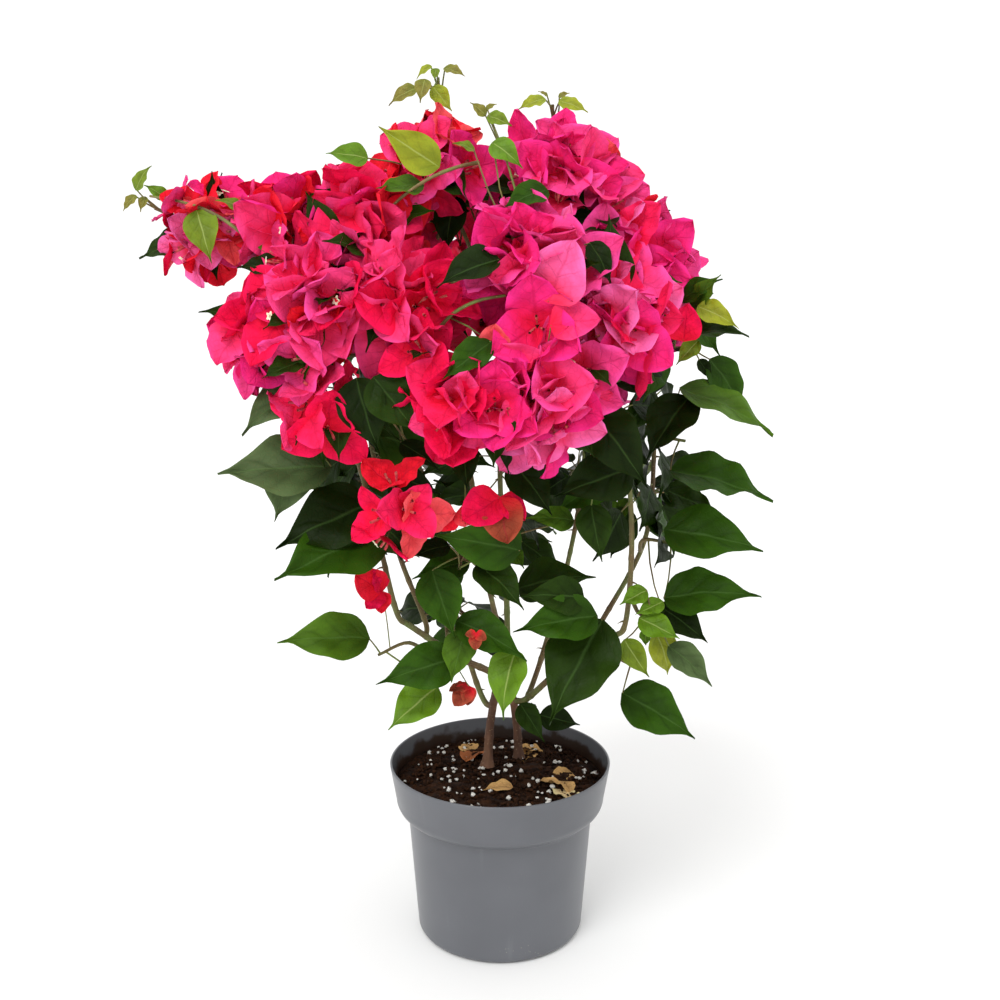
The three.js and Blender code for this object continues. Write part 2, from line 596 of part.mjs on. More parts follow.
const plant = new THREE.Group();
plant.add(meshOf('pot', LOOKS.plastic));
plant.add(meshOf('potting_mix', LOOKS.mix));
STEMS.forEach(({ name }) => plant.add(meshOf(name, LOOKS.bark)));
BOUGHS.forEach(({ name }) => plant.add(meshOf(name, LOOKS.greenBark)));
MASSES.forEach(({ name, fresh, flowers = 0, leaves = 0 }) => {
  const leafLook = fresh ? LOOKS.freshLeaf : LOOKS.leaf;
  plant.add(meshOf(name, flowers > leaves ? LOOKS.bract : leafLook));
});

export default plant;
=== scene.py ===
"""Bougainvillea bush in its nursery pot: papery bracts over dark leaves on thin arching stems.

The tables are in millimetres, with +Z up, -Y to the front and the origin at the centre of the pot's
underside. The stems, boughs and masses are named and placed as in the part's solids, but for a
`shift` that the photo's outline asks of eight masses. Each mass grows by the same seeded rule as its
solid and goes on to finer twigs, forked sprays of flowers and small leaves.
"""

import math
from dataclasses import dataclass, replace
from functools import lru_cache
from itertools import combinations
from types import SimpleNamespace

import bpy
import numpy as np
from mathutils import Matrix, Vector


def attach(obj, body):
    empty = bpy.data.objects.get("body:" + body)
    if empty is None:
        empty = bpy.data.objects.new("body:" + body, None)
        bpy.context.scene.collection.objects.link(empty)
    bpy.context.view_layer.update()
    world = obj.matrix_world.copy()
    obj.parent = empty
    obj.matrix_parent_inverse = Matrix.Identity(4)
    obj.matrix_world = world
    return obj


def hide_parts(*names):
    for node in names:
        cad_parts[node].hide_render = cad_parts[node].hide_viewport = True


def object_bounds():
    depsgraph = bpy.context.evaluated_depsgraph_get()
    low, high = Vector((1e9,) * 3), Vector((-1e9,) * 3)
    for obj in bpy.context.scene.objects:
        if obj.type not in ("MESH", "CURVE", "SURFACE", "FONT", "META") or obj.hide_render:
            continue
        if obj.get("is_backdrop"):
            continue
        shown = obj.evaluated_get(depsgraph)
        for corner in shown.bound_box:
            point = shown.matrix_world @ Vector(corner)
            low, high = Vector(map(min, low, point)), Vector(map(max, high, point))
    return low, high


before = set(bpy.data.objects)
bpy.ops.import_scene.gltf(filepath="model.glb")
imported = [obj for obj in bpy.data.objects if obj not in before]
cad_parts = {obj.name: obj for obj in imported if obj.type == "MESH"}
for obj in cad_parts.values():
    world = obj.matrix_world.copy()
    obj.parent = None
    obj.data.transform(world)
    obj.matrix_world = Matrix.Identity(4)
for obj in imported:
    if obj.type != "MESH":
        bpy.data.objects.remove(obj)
cad_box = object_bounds()

MM = 0.001  # the tables are in millimetres and the meshes in metres
BODY = "root"

# ---------- Camera and light ----------

CAMERA = SimpleNamespace(place=(0, -900, 535), down=12.1, lens=44.7, sensor=36)  # down in degrees
SKY_STRENGTH = 1.12
SUN_LAMP = SimpleNamespace(strength=1.25, spread=28, tilt=42, turn=-28)  # its angles are in degrees
FLOOR = SimpleNamespace(radius=6000, below=0.5, sides=64, colour="#F2F2F1")

# ---------- Pot and potting mix ----------

POT = SimpleNamespace(
    height=137, rim=85, collar_foot=80.5, collar_foot_height=109, body_top=71.5, body_top_height=99,
    foot=64.5, foot_rounding=5, wall=1.8, floor=3, sides=160)  # rim, feet and top are radii
COLLAR_SLOPE = (POT.rim - POT.collar_foot) / (POT.height - POT.collar_foot_height)
MIX = SimpleNamespace(height=120, crown_height=124, flat_radius=42, gap=0.4, hub=0.5, depth=14,
                      rings=64, sides=120, sink=0.6, calm=4,  # its edge is calm
                      waves=((1.3, 0.12, 4), (0.8, 0.5, 9)))  # their height, pitch and seed
MIX_RADIUS = POT.collar_foot - POT.wall + COLLAR_SLOPE * (MIX.height - POT.collar_foot_height) - MIX.gap
CRUMBS = 1500
PERLITE = 150
FALLEN = 9
FALLEN_SPREAD = 0.75  # of the way to the pot's wall
FALLEN_BRACTS = 0.6  # of all that have fallen; the others are leaves
FALLEN_LENGTH = (13, 24)
HUB = 0.4  # the pinhole in the middle of a turned surface

# ---------- The rule's driving values, as in the part's source ----------

STEM_FOOT = 14  # a woody stem's foot widens over this length
COLLAR = 5
MASS_STEM = (1.7, 1.1)
CORE = 0.3  # half of the stretch of a mass's stem that bears twigs, as a share of its least size
LEAFY_CORE = 13
SHORTEST_TWIG = 9
PETIOLE = 16
USUAL_LEAF = 50
SWAY = 0.15
LEAF_SPREAD = 0.22
DROOP = (0.15, 0.75)
BRACT_LENGTH = (31, 44)
BRACT_INSIDE = 0.62
OPENING = (46, 76)  # degrees
FLOWER_LEAN = 0.3
BRACTS = 3
USUAL_SPREAD = 105  # degrees
UP = np.array([0.0, 0.0, 1.0])
SUN = np.array([-0.15, -0.75, 0.65]) / math.hypot(0.15, 0.75, 0.65)
SUN_PULL = 0.3
CROWN_HEART = np.array([-10.0, 20.0, 440.0])
CROWN_FLATNESS = 0.6
GOLDEN_ANGLE = math.pi * (3 - math.sqrt(5))

# ---------- What the finer growth adds ----------

TWIG = (0.75, 0.5)  # radii at its root and its tip
PEDICEL = (0.5, 0.4)
TWIG_BOW = 0.12
TWIG_STEPS = 4
TWIG_SIDES = 5
STALK_IN = 0.8  # how far a stalk reaches into its blade
# Lesser flowers fork off below the one at the end of a flowering twig, and root `depth` deeper in the
# mass's space. Their size, opening and stalk are shares of that flower's.
SIDE = SimpleNamespace(count=1, fork=24, depth=11, splay=math.tan(1.15), size=(0.8, 1.0), opening=0.9,
                       stalk=0.6)
# Leaves in the shade behind a mass of bracts root at `reach` of its space and stand out by `proud` at most.
INNER = SimpleNamespace(count=5, length=44, shortest=22, foot=0.4, reach=0.42, behind=12, proud=12,
                        stray=0.8)
# Flowers and leaves between two masses whose hearts are at most `widest` apart; `foot` is how far
# behind the two hearts the twigs of each start.
VALLEY = SimpleNamespace(widest=104, every=62, span=0.6, depth=0.42, size=0.9, sway=2.5 * SWAY,
                         leaf=(24, 37), foot=(10, 12), stray=1.6, droop=0.3)
# The pairs that stay open, as they are in the photo.
OPEN_VALLEYS = [{"bloom_" + name for name in pair.split()} for pair in (
    "middle centre_high", "middle centre_low", "left_low left_upper", "left_hanging centre_left",
    "left_hanging middle", "centre_high centre_left", "left_low left_hanging", "left_top left_low")]
# Leaves along the canes, between two heights inside the crown.
CANE_LEAVES = SimpleNamespace(above=325, below=485, every=13, last=0.98, length=(36, 58), stray=1.4,
                              sun=0.6, scatter=0.5)
LESSER_LEAF = SimpleNamespace(size=(0.35, 0.62), stray=2.2, stalk=0.6 * PETIOLE)  # at a leafy twig's foot
FACING = SimpleNamespace(  # how far a blade faces away from the sun: outwards, upwards or unevenly
    out=0.35, up=0.25, scatter=0.8, lesser=0.4, shown=0.3, shaded=0.3)
BRACT_FOOT = 0.8  # from a flower's axis
TUBE = SimpleNamespace(  # the true flower, within its bracts
    length=15 / BRACT_LENGTH[1], radii=(0.45, 0.675, 0.99, 0.9), sides=6, foot=1.6, splay=0.35, bow=0.6)
STAR = SimpleNamespace(  # its mouth: the rings' shares of the radius, and how far they rise
    chance=0.07, radius=3.6, lobes=5, notch=0.22, rings=((0.12, -0.8), (0.45, 0.1), (0.8, 0.5), (1.0, 0.2)))
THORN = SimpleNamespace(length=7, radii=(0.9, 0.675, 0.36, 0.054), every=34, hook=1.5)
NODE = SimpleNamespace(every=30, width=1.6, swell=0.16)  # a cane swells a little at its nodes
REAR_FROM = 5  # y from which the bracts are another piece, as they are to the left of LEFT_TO
LEFT_TO = -25
VEIN_CLIMB = 1.3  # how far side veins run up from the midrib to the edge
VEIN_BEND = 0.8


@dataclass(frozen=True)
class Form:
    """The shape of a blade, in shares of its length."""

    width: float
    rise: float  # the lower, the broader its base
    fall: float  # the higher, the more it narrows towards its tip
    tail: float  # the share of its length that is its drawn-out tip
    tip_slope: float  # how fast its sides part, back from its tip
    fold: float  # how far its sides rise from the midrib, as a share of their breadth
    sag: float  # how far its tip drops
    belly: float  # how far its middle swells outwards
    ruffle: float  # waves along its edge
    crumple: float  # uneven dents
    quilt: float  # swelling between side veins
    veins: int
    rows: int
    columns: int


LEAF = Form(width=0.62, rise=0.66, fall=1.08, tail=0.09, tip_slope=0.19, fold=0.2, sag=0.2, belly=0.0,
            ruffle=0.034, crumple=0.012, quilt=0.012, veins=4, rows=20, columns=11)
BRACT = Form(width=0.95, rise=0.42, fall=0.7, tail=0.0, tip_slope=0.0, fold=0.12, sag=0.1, belly=0.04,
             ruffle=0.042, crumple=0.026, quilt=0.008, veins=5, rows=13, columns=9)
LEAST_HALF_WIDTH = 0.25


@dataclass(frozen=True)
class Skin:
    """How finely a limb is modelled, and the ridges of its bark."""

    sides: int
    step: float
    ridges: int
    depth: float


WOOD_SKIN = Skin(24, 1.5, 5, 0.05)
CANE_SKIN = Skin(14, 2, 4, 0.035)
MASS_SKIN = Skin(8, 4, 3, 0.03)
ARCH_SKIN = Skin(8, 3, 3, 0.03)

# ---------- Colours ----------

# Tones of the bracts, from the crimson side of the crown to the magenta side, then the young ones.
BRACT_TONES = {
    "crimson": "#EE1248",
    "rose": "#F52258",
    "bright_rose": "#FB3A76",
    "magenta": "#F42878",
    "hot_pink": "#F9428A",
    "light_pink": "#FC5E9C",
    "scarlet": "#F01C32",
    "coral": "#F54E55",
    "withered": "#93422E",
}
LEAF_TONES = {
    "deep": "#172507",
    "dark": "#213509",
    "middle": "#2B4A0B",
    "grassy": "#456416",
    "bright": "#5A7E14",
    "grey_green": "#4C5E38",
    "fresh": "#687C18",
    "lime": "#8E9620",
    "bronze": "#7C762F",
}
FALLEN_TONES = {"tan": "#C49A62", "straw": "#D8BE8C", "rust": "#9A5A34"}
LEFT_MIX = {"crimson": 3, "rose": 4, "bright_rose": 4, "scarlet": 1, "magenta": 1.6, "hot_pink": 1.6}
RIGHT_MIX = {"magenta": 3, "hot_pink": 5, "light_pink": 1.4, "rose": 1, "bright_rose": 2}
PINK_MIX = {"hot_pink": 3, "bright_rose": 3, "light_pink": 1, "magenta": 1}
DEEP_MIX = {"crimson": 3, "rose": 2, "bright_rose": 2, "scarlet": 1}
YOUNG_MIX = {"scarlet": 3, "coral": 2, "crimson": 2}
YOUNG_SHARE = 0.06
LEAF_MIX = {"deep": 2, "dark": 4, "middle": 3, "grassy": 1.2, "bright": 0.3, "grey_green": 0.6}
FRESH_MIX = {"fresh": 4, "lime": 2, "bright": 3, "bronze": 1}
INNER_MIX = {"deep": 4, "dark": 3, "middle": 1}
FALLEN_MIX = {"tan": 3, "straw": 2, "rust": 1}
CRIMSON_SIDE = -55  # the crown turns from crimson to magenta between these two x
MAGENTA_SIDE = 15
ATLAS = 3  # tones are laid out in this many rows and columns of the blades' UV map
GUTTER = 0.04

# ---------- The plant's tables ----------

STEMS = {
    "stem_left": dict(points=[(-10, 15, 124.5), (-8, 15, 155), (-3, 14, 190)], radii=(3.6, 2.8), flare=1.6),
    "stem_right": dict(points=[(15, 30, 124.5), (13, 30, 155), (8, 29, 192)], radii=(3.4, 2.7), flare=1.5),
}


@dataclass(frozen=True)
class Bough:
    """A bough leaves the limb `on`, at `share` of its length, and has `radii` at its two ends."""

    name: str
    on: str
    share: float
    path: tuple
    radii: tuple
    bare: bool = False  # of leaves along it


BOUGHS = [
    Bough("bough_left_low", "stem_left", 1, [(-32, -6, 222), (-68, -36, 258)], (2.6, 2.3)),
    Bough("bough_left_front", "bough_left_low", 1,
          [(-84, -52, 318), (-95, -60, 372), (-108, -66, 425), (-116, -72, 455)], (2.1, 1.5)),
    Bough("bough_left_back", "bough_left_low", 0.8,
          [(-74, -8, 300), (-92, -14, 380), (-100, -14, 450), (-100, -20, 505)], (2.0, 1.4)),
    Bough("bough_arm", "bough_left_back", 0.8, [(-135, -26, 500), (-160, -34, 516)], (1.5, 1.2)),
    Bough("bough_centre_front", "stem_right", 0.9,
          [(-2, -14, 250), (-14, -50, 320), (-24, -66, 400), (-38, -74, 452)], (2.3, 1.5), bare=True),
    Bough("bough_centre_back", "stem_right", 1,
          [(5, 38, 260), (0, 34, 360), (4, 18, 460), (8, 0, 525)], (2.5, 1.4)),
    Bough("bough_right_low", "stem_right", 0.72, [(50, 8, 210), (86, -20, 244)], (2.5, 2.2)),
    Bough("bough_right_front", "bough_right_low", 1,
          [(94, -40, 312), (90, -50, 366), (78, -60, 430), (70, -66, 462)], (2.1, 1.5)),
    Bough("bough_right_back", "bough_right_low", 0.8,
          [(108, 2, 310), (114, 6, 372), (110, -2, 440), (98, -10, 495)], (2.0, 1.4)),
    Bough("bough_rear_left", "stem_left", 0.75,
          [(-36, 50, 240), (-62, 68, 340), (-66, 72, 440), (-54, 60, 510)], (2.3, 1.4)),
    Bough("bough_rear_right", "stem_right", 0.6,
          [(46, 66, 240), (66, 78, 340), (66, 78, 440), (52, 62, 510)], (2.3, 1.4)),
]


@dataclass(frozen=True)
class Mass:
    """Twigs that spread from a short stem of their own, which leaves the limb `on` at `share`."""

    name: str
    on: str
    share: float
    at: tuple  # its heart in the solids
    size: tuple = None  # how far its space reaches from its heart, in x, y and z
    flowers: int = 0  # twigs that follow the seeded rule
    leaves: int = 0
    leaf: float = USUAL_LEAF  # their usual length
    bract: tuple = BRACT_LENGTH
    face: tuple = None  # the way that it faces, where that isn't straight out of the crown
    spread: float = USUAL_SPREAD  # from its face to its outermost twig
    shift: tuple = (0, 0, 0)  # of its heart, from where the solids have it
    sides: int = SIDE.count
    inner: int = INNER.count
    alone: bool = False  # no flowers grow in the valleys round it
    fresh: bool = False
    young: float = YOUNG_SHARE  # of its flowers
    mix: dict = None  # of its tones, where it has one of its own
    shown: tuple = ()  # blades that each have a place of their own: base, tip, tone and, if turned, lift


def bloom(name, bough, share, at, size, flowers, leaves=0, **rest):
    """A mass of bracts on a bough."""
    return Mass("bloom_" + name, "bough_" + bough, share, at, size, flowers, leaves, **rest)


def foliage(name, bough, share, at, face, **rest):
    """A mass of leaves on a bough."""
    return Mass("leaves_" + name, "bough_" + bough, share, at, face=face, **rest)


MASSES = [
    # Young shoots that stand out of the crown.
    Mass("shoot_arm", "bough_arm", 1, (-226, -20, 547), face=(-0.9, -0.2, 0.4), fresh=True, shown=[
        ((-249, -26, 564), (-238, -26, 580), "fresh"),
        ((-249, -26, 561), (-257, -30, 550), "bronze"),
        ((-225, -34, 558), (-240, -36, 567), "bright"),
        ((-243, -24, 560), (-246, -28, 550), "bronze")]),
    Mass("shoot_top_left", "bough_left_back", 0.97, (-42, -14, 626), face=(0, -0.3, 1), fresh=True, shown=[
        ((-45, -26, 632), (-33, -30, 614), "lime"),
        ((-56, -24, 631), (-75, -26, 621), "bronze"),
        ((-50, -32, 636), (-53, -40, 620), "bronze"),
        ((-46, -16, 646), (-57, -16, 639), "lime"),
        ((-38, -16, 645), (-24, -20, 638), "bronze"),
        ((-43, -22, 644), (-44, -28, 635), "fresh")]),
    Mass("shoot_top_right", "bough_centre_back", 1, (36, -8, 609), face=(0, -0.3, 1), fresh=True, shown=[
        ((31, -16, 625), (12, -20, 617), "lime"),
        ((40, -16, 624), (59, -22, 614), "lime"),
        ((33, -10, 627), (26, -12, 630), "bronze"),
        ((40, -8, 627), (48, -10, 629), "bronze")]),

    # Bracts over the front.
    bloom("arm", "arm", 0.85, (-192, -44, 530), (48, 30, 32), 9, face=(-0.3, -0.8, 0.1), spread=115,
          bract=(24, 31), alone=True, young=0.35, mix=PINK_MIX, shift=(-4, 0, 8), shown=[
        ((-196, -76, 550), (-186, -86, 518), "fresh"),
        ((-165, -78, 550), (-181, -84, 557), "fresh"),
        ((-140, -70, 524), (-166, -78, 535), "grassy")]),
    bloom("left_upper", "left_back", 0.92, (-138, -60, 545), (38, 36, 34), 6, mix=PINK_MIX, shift=(0, 0, -8)),
    bloom("left_top", "left_back", 1, (-88, -70, 546), (40, 38, 38), 7, shift=(0, 0, -6)),
    bloom("left_low", "left_front", 0.96, (-158, -76, 474), (38, 38, 34), 7, shift=(10, 0, -5), shown=[
        ((-166, -100, 480), (-180, -108, 453), "bright_rose"),
        ((-166, -66, 477), (-197, -72, 487), "dark")]),
    bloom("left_middle", "left_front", 1, (-112, -104, 494), (38, 38, 38), 7, 1),
    bloom("left_hanging", "left_front", 0.86, (-120, -108, 424), (32, 32, 40), 5, face=(-0.3, -0.9, -0.2),
          spread=95, bract=(28, 36), sides=0, shift=(6, 0, 4)),
    bloom("middle", "centre_front", 0.95, (-58, -112, 492), (38, 38, 44), 7, young=0, shown=[
        ((0, -134, 520), (-38, -140, 504), "deep"),
        ((-5, -142, 471), (-34, -150, 447), "middle")]),
    bloom("centre_left", "centre_front", 0.82, (-34, -128, 430), (32, 34, 34), 5, face=(-0.1, -1, -0.1),
          inner=0, shift=(8, 0, 0)),
    bloom("hanging", "left_front", 0.5, (-66, -112, 362), (30, 30, 38), 5, face=(0.1, -0.9, -0.2),
          spread=90, bract=(24, 30), inner=0, sides=0, alone=True, mix=DEEP_MIX),
    bloom("top_left", "centre_back", 0.88, (-42, -46, 578), (44, 40, 32), 9, bract=(24, 34), alone=True,
          young=0.4, shown=[
        ((-30, -46, 560), (-36, -52, 522), "deep"),
        ((-38, -92, 576), (-76, -100, 598), "lime", -0.8),
        ((-48, -92, 565), (-78, -100, 560), "grassy"),
        ((-84, -80, 582), (-110, -84, 584), "bright")]),
    bloom("top_right", "centre_back", 0.96, (38, -52, 566), (46, 44, 40), 9, shown=[
        ((30, -100, 562), (2, -108, 551), "middle")]),
    bloom("right_upper", "right_back", 1, (92, -52, 528), (42, 42, 42), 8, shift=(-9, 0, -8), shown=[
        ((120, -84, 466), (120, -92, 490), "crimson")]),
    bloom("right", "right_front", 0.96, (70, -102, 480), (42, 40, 36), 7, 1),
    bloom("centre_high", "centre_front", 1, (10, -104, 520), (38, 38, 36), 7, shift=(8, 0, 0), shown=[
        ((29, -142, 494), (42, -146, 532), "light_pink", -0.4),
        ((55, -122, 530), (69, -130, 506), "deep"),
        ((-3, -138, 463), (-2, -146, 482), "coral", -0.4),
        ((-9, -70, 609), (-19, -70, 617), "bronze"),
        ((-9, -70, 613), (-2, -70, 616), "bronze"),
        ((-8, -72, 609), (8, -78, 601), "fresh"),
        ((-5, -80, 592), (13, -90, 577), "bright"),
        ((-16, -80, 587), (-30, -84, 591), "fresh")]),
    bloom("centre_low", "right_front", 0.88, (26, -124, 434), (44, 40, 46), 8, young=0, shown=[
        ((30, -146, 481), (60, -150, 486), "bright_rose", -0.2)]),

    # Bracts over the back.
    bloom("rear_top_left", "rear_left", 1, (-50, 30, 556), (50, 50, 42), 7, 1),
    bloom("rear_top_right", "rear_right", 1, (46, 32, 552), (50, 50, 42), 7, 1),
    bloom("rear_left", "rear_left", 0.88, (-116, 36, 492), (50, 52, 48), 7, 2),
    bloom("rear_right", "rear_right", 0.88, (106, 40, 486), (48, 52, 48), 7, 2),
    bloom("rear_middle", "rear_right", 0.94, (0, 94, 498), (52, 44, 50), 7, 2),
    bloom("rear_low_left", "rear_left", 0.76, (-72, 98, 430), (46, 42, 44), 6, 2),
    bloom("rear_low_right", "rear_right", 0.76, (66, 104, 424), (46, 42, 44), 6, 2),

    # Leaves on the left side.
    foliage("left_high", "left_front", 0.7, (-124, -74, 412), (-0.9, -0.4, -0.15), spread=75,
            leaves=1, leaf=64, shown=[
        ((-112, -84, 383), (-188, -80, 371), "grey_green"),
        ((-121, -84, 442), (-170, -92, 408), "grey_green")]),
    foliage("left_low", "left_front", 0.34, (-98, -66, 356), (-0.8, -0.5, -0.15), shown=[
        ((-87, -68, 355), (-148, -92, 326), "deep", -0.3),
        ((-79, -74, 336), (-150, -104, 306), "middle", -0.3)]),
    foliage("left_foot", "left_low", 0.72, (-78, -40, 240), (-0.75, -0.45, -0.2), size=(46, 40, 46), shown=[
        ((-93, -52, 252), (-156, -60, 252), "grassy"),
        ((-44, -66, 221), (-78, -80, 194), "bright"),
        ((-82, -62, 290), (-100, -68, 304), "scarlet", -0.3),
        ((-82, -62, 290), (-94, -66, 279), "crimson", -0.3),
        ((-82, -62, 290), (-88, -66, 306), "crimson", 0.6),
        ((-82, -62, 290), (-83, -66, 275), "scarlet", -0.8)]),
    foliage("left_flank", "left_back", 0.4, (-104, 24, 348), (-0.8, 0.5, -0.1), spread=100,
            leaves=6, leaf=60),

    # Leaves in the middle and at the foot.
    foliage("mid_dark", "left_front", 0.6, (-66, -72, 400), (0.35, -0.8, -0.1), shown=[
        ((-90, -124, 447), (-77, -130, 400), "deep", -0.5),
        ((-79, -128, 448), (-50, -134, 414), "dark", -0.5),
        ((-66, -90, 400), (-40, -98, 384), "deep")]),
    foliage("front_middle", "centre_front", 0.5, (-26, -84, 318), (-0.1, -0.9, -0.2), spread=100,
            leaves=1, leaf=54, size=(46, 40, 40), shown=[
        ((14, -92, 327), (-42, -110, 345), "middle", -0.7),
        ((-29, -100, 355), (-45, -106, 346), "scarlet", -0.3),
        ((-29, -100, 355), (-15, -106, 350), "coral", -0.3),
        # The three bracts on the next lines take the darker crimson and withered tones partly as painted
        # shade, for the shade that they hang in.
        ((0, -102, 366), (-24, -108, 351), "crimson", -0.3),
        ((0, -102, 366), (4, -114, 337), "withered", -0.5),
        ((0, -102, 366), (17, -106, 352), "crimson"),
        ((-34, -80, 328), (-62, -88, 319), "deep"),
        ((-21, -60, 311), (-60, -66, 299), "middle"),
        ((-46, -92, 314), (-33, -104, 270), "middle"),
        ((-25, -94, 402), (-20, -104, 370), "deep"),
        ((8, -88, 388), (34, -98, 352), "deep"),
        ((50, -84, 346), (17, -92, 349), "grassy")]),
    foliage("front_low", "left_low", 0.45, (-38, -50, 258), (0.05, -0.9, -0.3), size=(50, 40, 34), shown=[
        ((-30, -84, 248), (-82, -100, 239), "middle", -0.7),
        ((-24, -86, 270), (-30, -94, 234), "grassy"),
        ((-16, -110, 275), (-16, -115, 265), "withered", -0.4),
        ((-21, -84, 228), (-31, -90, 215), "withered", -0.4),
        ((11, -88, 256), (-1, -104, 214), "bright"),
        ((-30, -92, 278), (18, -104, 258), "middle"),
        ((-16, -110, 275), (-9, -114, 272), "withered"),
        ((-16, -110, 275), (-23, -112, 274), "withered"),
        ((-21, -84, 228), (-35, -88, 226), "withered", 0.5),
        ((-21, -84, 228), (-23, -90, 216), "withered", -0.6)]),
    foliage("front_right", "right_low", 0.55, (46, -44, 272), (-0.1, -0.9, -0.1), shown=[
        ((72, -70, 272), (34, -100, 206), "dark"),
        ((12, -56, 290), (66, -66, 303), "dark"),
        ((58, -80, 290), (16, -92, 298), "dark"),
        ((67, -84, 279), (9, -100, 272), "middle")]),
    Mass("leaves_foot", "stem_right", 0.5, (22, 4, 166), face=(0.4, -0.8, 0.2), spread=70,
         leaves=1, leaf=28, shown=[((15, -20, 190), (33, -34, 166), "dark")]),
    foliage("under_bloom", "right_front", 0.62, (62, -84, 392), (-0.1, -0.9, -0.1), shown=[
        ((60, -104, 422), (96, -116, 378), "deep"),
        ((86, -96, 384), (36, -112, 365), "deep"),
        ((61, -88, 358), (66, -98, 322), "dark")]),

    # Leaves on the right side.
    foliage("right_foot", "right_low", 0.92, (96, -34, 226), (0.85, -0.3, -0.4), shown=[
        ((88, -50, 210), (140, -60, 180), "middle", 0.1)]),
    foliage("right_fresh", "right_front", 0.16, (104, -52, 268), (0.4, -0.85, -0.1), spread=110,
            leaves=1, leaf=32, fresh=True, shown=[
        ((119, -62, 250), (150, -70, 224), "grey_green"),
        ((104, -56, 289), (84, -62, 279), "bright"),
        ((98, -60, 270), (125, -70, 255), "bright"),
        ((88, -60, 254), (104, -68, 228), "fresh"),
        ((116, -54, 280), (95, -62, 271), "bright"),
        ((116, -44, 276), (146, -52, 251), "middle")]),
    foliage("right_middle", "right_back", 0.3, (116, -24, 316), (0.85, -0.5, 0), shown=[
        ((116, -52, 282), (180, -66, 290), "middle"),
        ((115, -52, 332), (181, -66, 319), "middle"),
        ((115, -46, 274), (147, -60, 250), "deep")]),
    foliage("right_flank", "right_back", 0.42, (116, 38, 340), (0.7, 0.7, -0.1), spread=100,
            leaves=6, leaf=58),
    foliage("right_high", "right_back", 0.58, (120, -24, 392), (0.85, -0.45, -0.05), shown=[
        ((118, -50, 374), (187, -60, 350), "middle", 0.4),
        ((124, -44, 431), (184, -60, 396), "grassy", 0.7),
        ((131, -44, 425), (100, -70, 382), "deep")]),
    foliage("right_tip", "right_back", 0.82, (128, -24, 456), (0.9, -0.3, 0.1), spread=90,
            leaves=2, leaf=46, shown=[
        ((128, -42, 468), (167, -56, 467), "dark", 0.3),
        ((132, -40, 485), (149, -46, 507), "grassy"),
        ((135, -50, 464), (120, -58, 447), "fresh"),
        ((123, -36, 490), (152, -40, 504), "middle"),
        ((134, -48, 487), (160, -58, 474), "lime", -0.3)]),

    # Leaves at the back.
    foliage("rear_left", "rear_left", 0.5, (-68, 98, 346), (-0.4, 0.9, -0.1), spread=100, leaves=7, leaf=58),
    foliage("rear_right", "rear_right", 0.5, (66, 106, 344), (0.4, 0.9, -0.1), spread=100, leaves=7, leaf=58),
    foliage("rear_low", "rear_left", 0.16, (-34, 64, 236), (-0.3, 0.9, -0.2), spread=95, leaves=6, leaf=54),
    foliage("rear_middle", "centre_back", 0.42, (2, 66, 300), (0, 1, 0), spread=90, leaves=6, leaf=56),
]

# Young canes that arch out in front of the blooms, each from its bough to its tip.
ARCHES = [
    dict(points=[(-45, -96, 446), (-44, -112, 460), (-39, -124, 475), (-29, -132, 487), (-14, -134, 495),
                 (3, -128, 498)], radii=(1.5, 0.9)),
    dict(points=[(-150, -60, 514), (-158, -76, 526), (-169, -84, 538), (-185, -80, 548), (-207, -64, 555),
                 (-237, -34, 560)], radii=(1.3, 0.8)),
    dict(points=[(-14, -70, 580), (-28, -88, 576), (-44, -98, 569), (-58, -102, 560), (-70, -98, 550)],
         radii=(1.3, 0.9)),
]


# ---------- Small helpers ----------

def unit(v):
    return v / np.linalg.norm(v)


def blend(low, high, share):
    return low + (high - low) * share


def across(v, axis):
    """The part of v at right angles to axis, at length 1."""
    return unit(v - np.dot(v, axis) * axis)


def basis(axis):
    """Two unit vectors at right angles to axis and to each other."""
    reference = UP if abs(axis[2]) < 0.9 else np.array([1.0, 0.0, 0.0])
    u = unit(np.cross(reference, axis))
    return u, np.cross(axis, u)


def spoke(u, v, turn):
    """The unit vector at a turn from u towards v, or one for each of several turns."""
    turn = np.asarray(turn)[..., None]
    return np.cos(turn) * u + np.sin(turn) * v


def turns_of(sides):
    return np.arange(sides) * math.tau / sides


class Dice:
    """Seeded numbers from 0 to 1, drawn as the part's source draws them."""

    def __init__(self, seed):
        self.state = (seed * 2654435761) % 4294967296

    def __call__(self, low=0.0, high=1.0):
        self.state = (self.state * 1664525 + 1013904223) % 4294967296
        return blend(low, high, self.state / 4294967296)

    def vector(self):
        return np.array([self(-0.5, 0.5) for _ in range(3)])

    def choose(self, mix):
        """One of the names in a mix, by weight."""
        left = self() * sum(mix.values())
        for name, weight in mix.items():
            left -= weight
            if left <= 0:
                return name
        return name


# ---------- Meshes ----------

@lru_cache(maxsize=None)
def grid(rows, columns, wrap):
    """The quads of a grid of points, and the place of each corner from 0 to 1 both ways."""
    across_count = columns if wrap else columns - 1
    i, j = np.meshgrid(np.arange(rows - 1), np.arange(across_count), indexing="ij")
    i, j = i.ravel(), j.ravel()
    corners = [(i, j), (i, j + 1), (i + 1, j + 1), (i + 1, j)]
    quads = np.stack([row * columns + column % columns for row, column in corners], axis=1)
    places = np.stack([np.stack([column / across_count, row / (rows - 1)], axis=1)
                       for row, column in corners], axis=1)
    return quads, places


def linked(name, data, place=(0, 0, 0), angles=(0, 0, 0)):
    """An object in the scene, for a mesh, light or camera, placed in millimetres and turned in degrees."""
    made = bpy.data.objects.new(name, data)
    made.location = [part * MM for part in place]
    made.rotation_euler = [math.radians(angle) for angle in angles]
    bpy.context.scene.collection.objects.link(made)
    return made


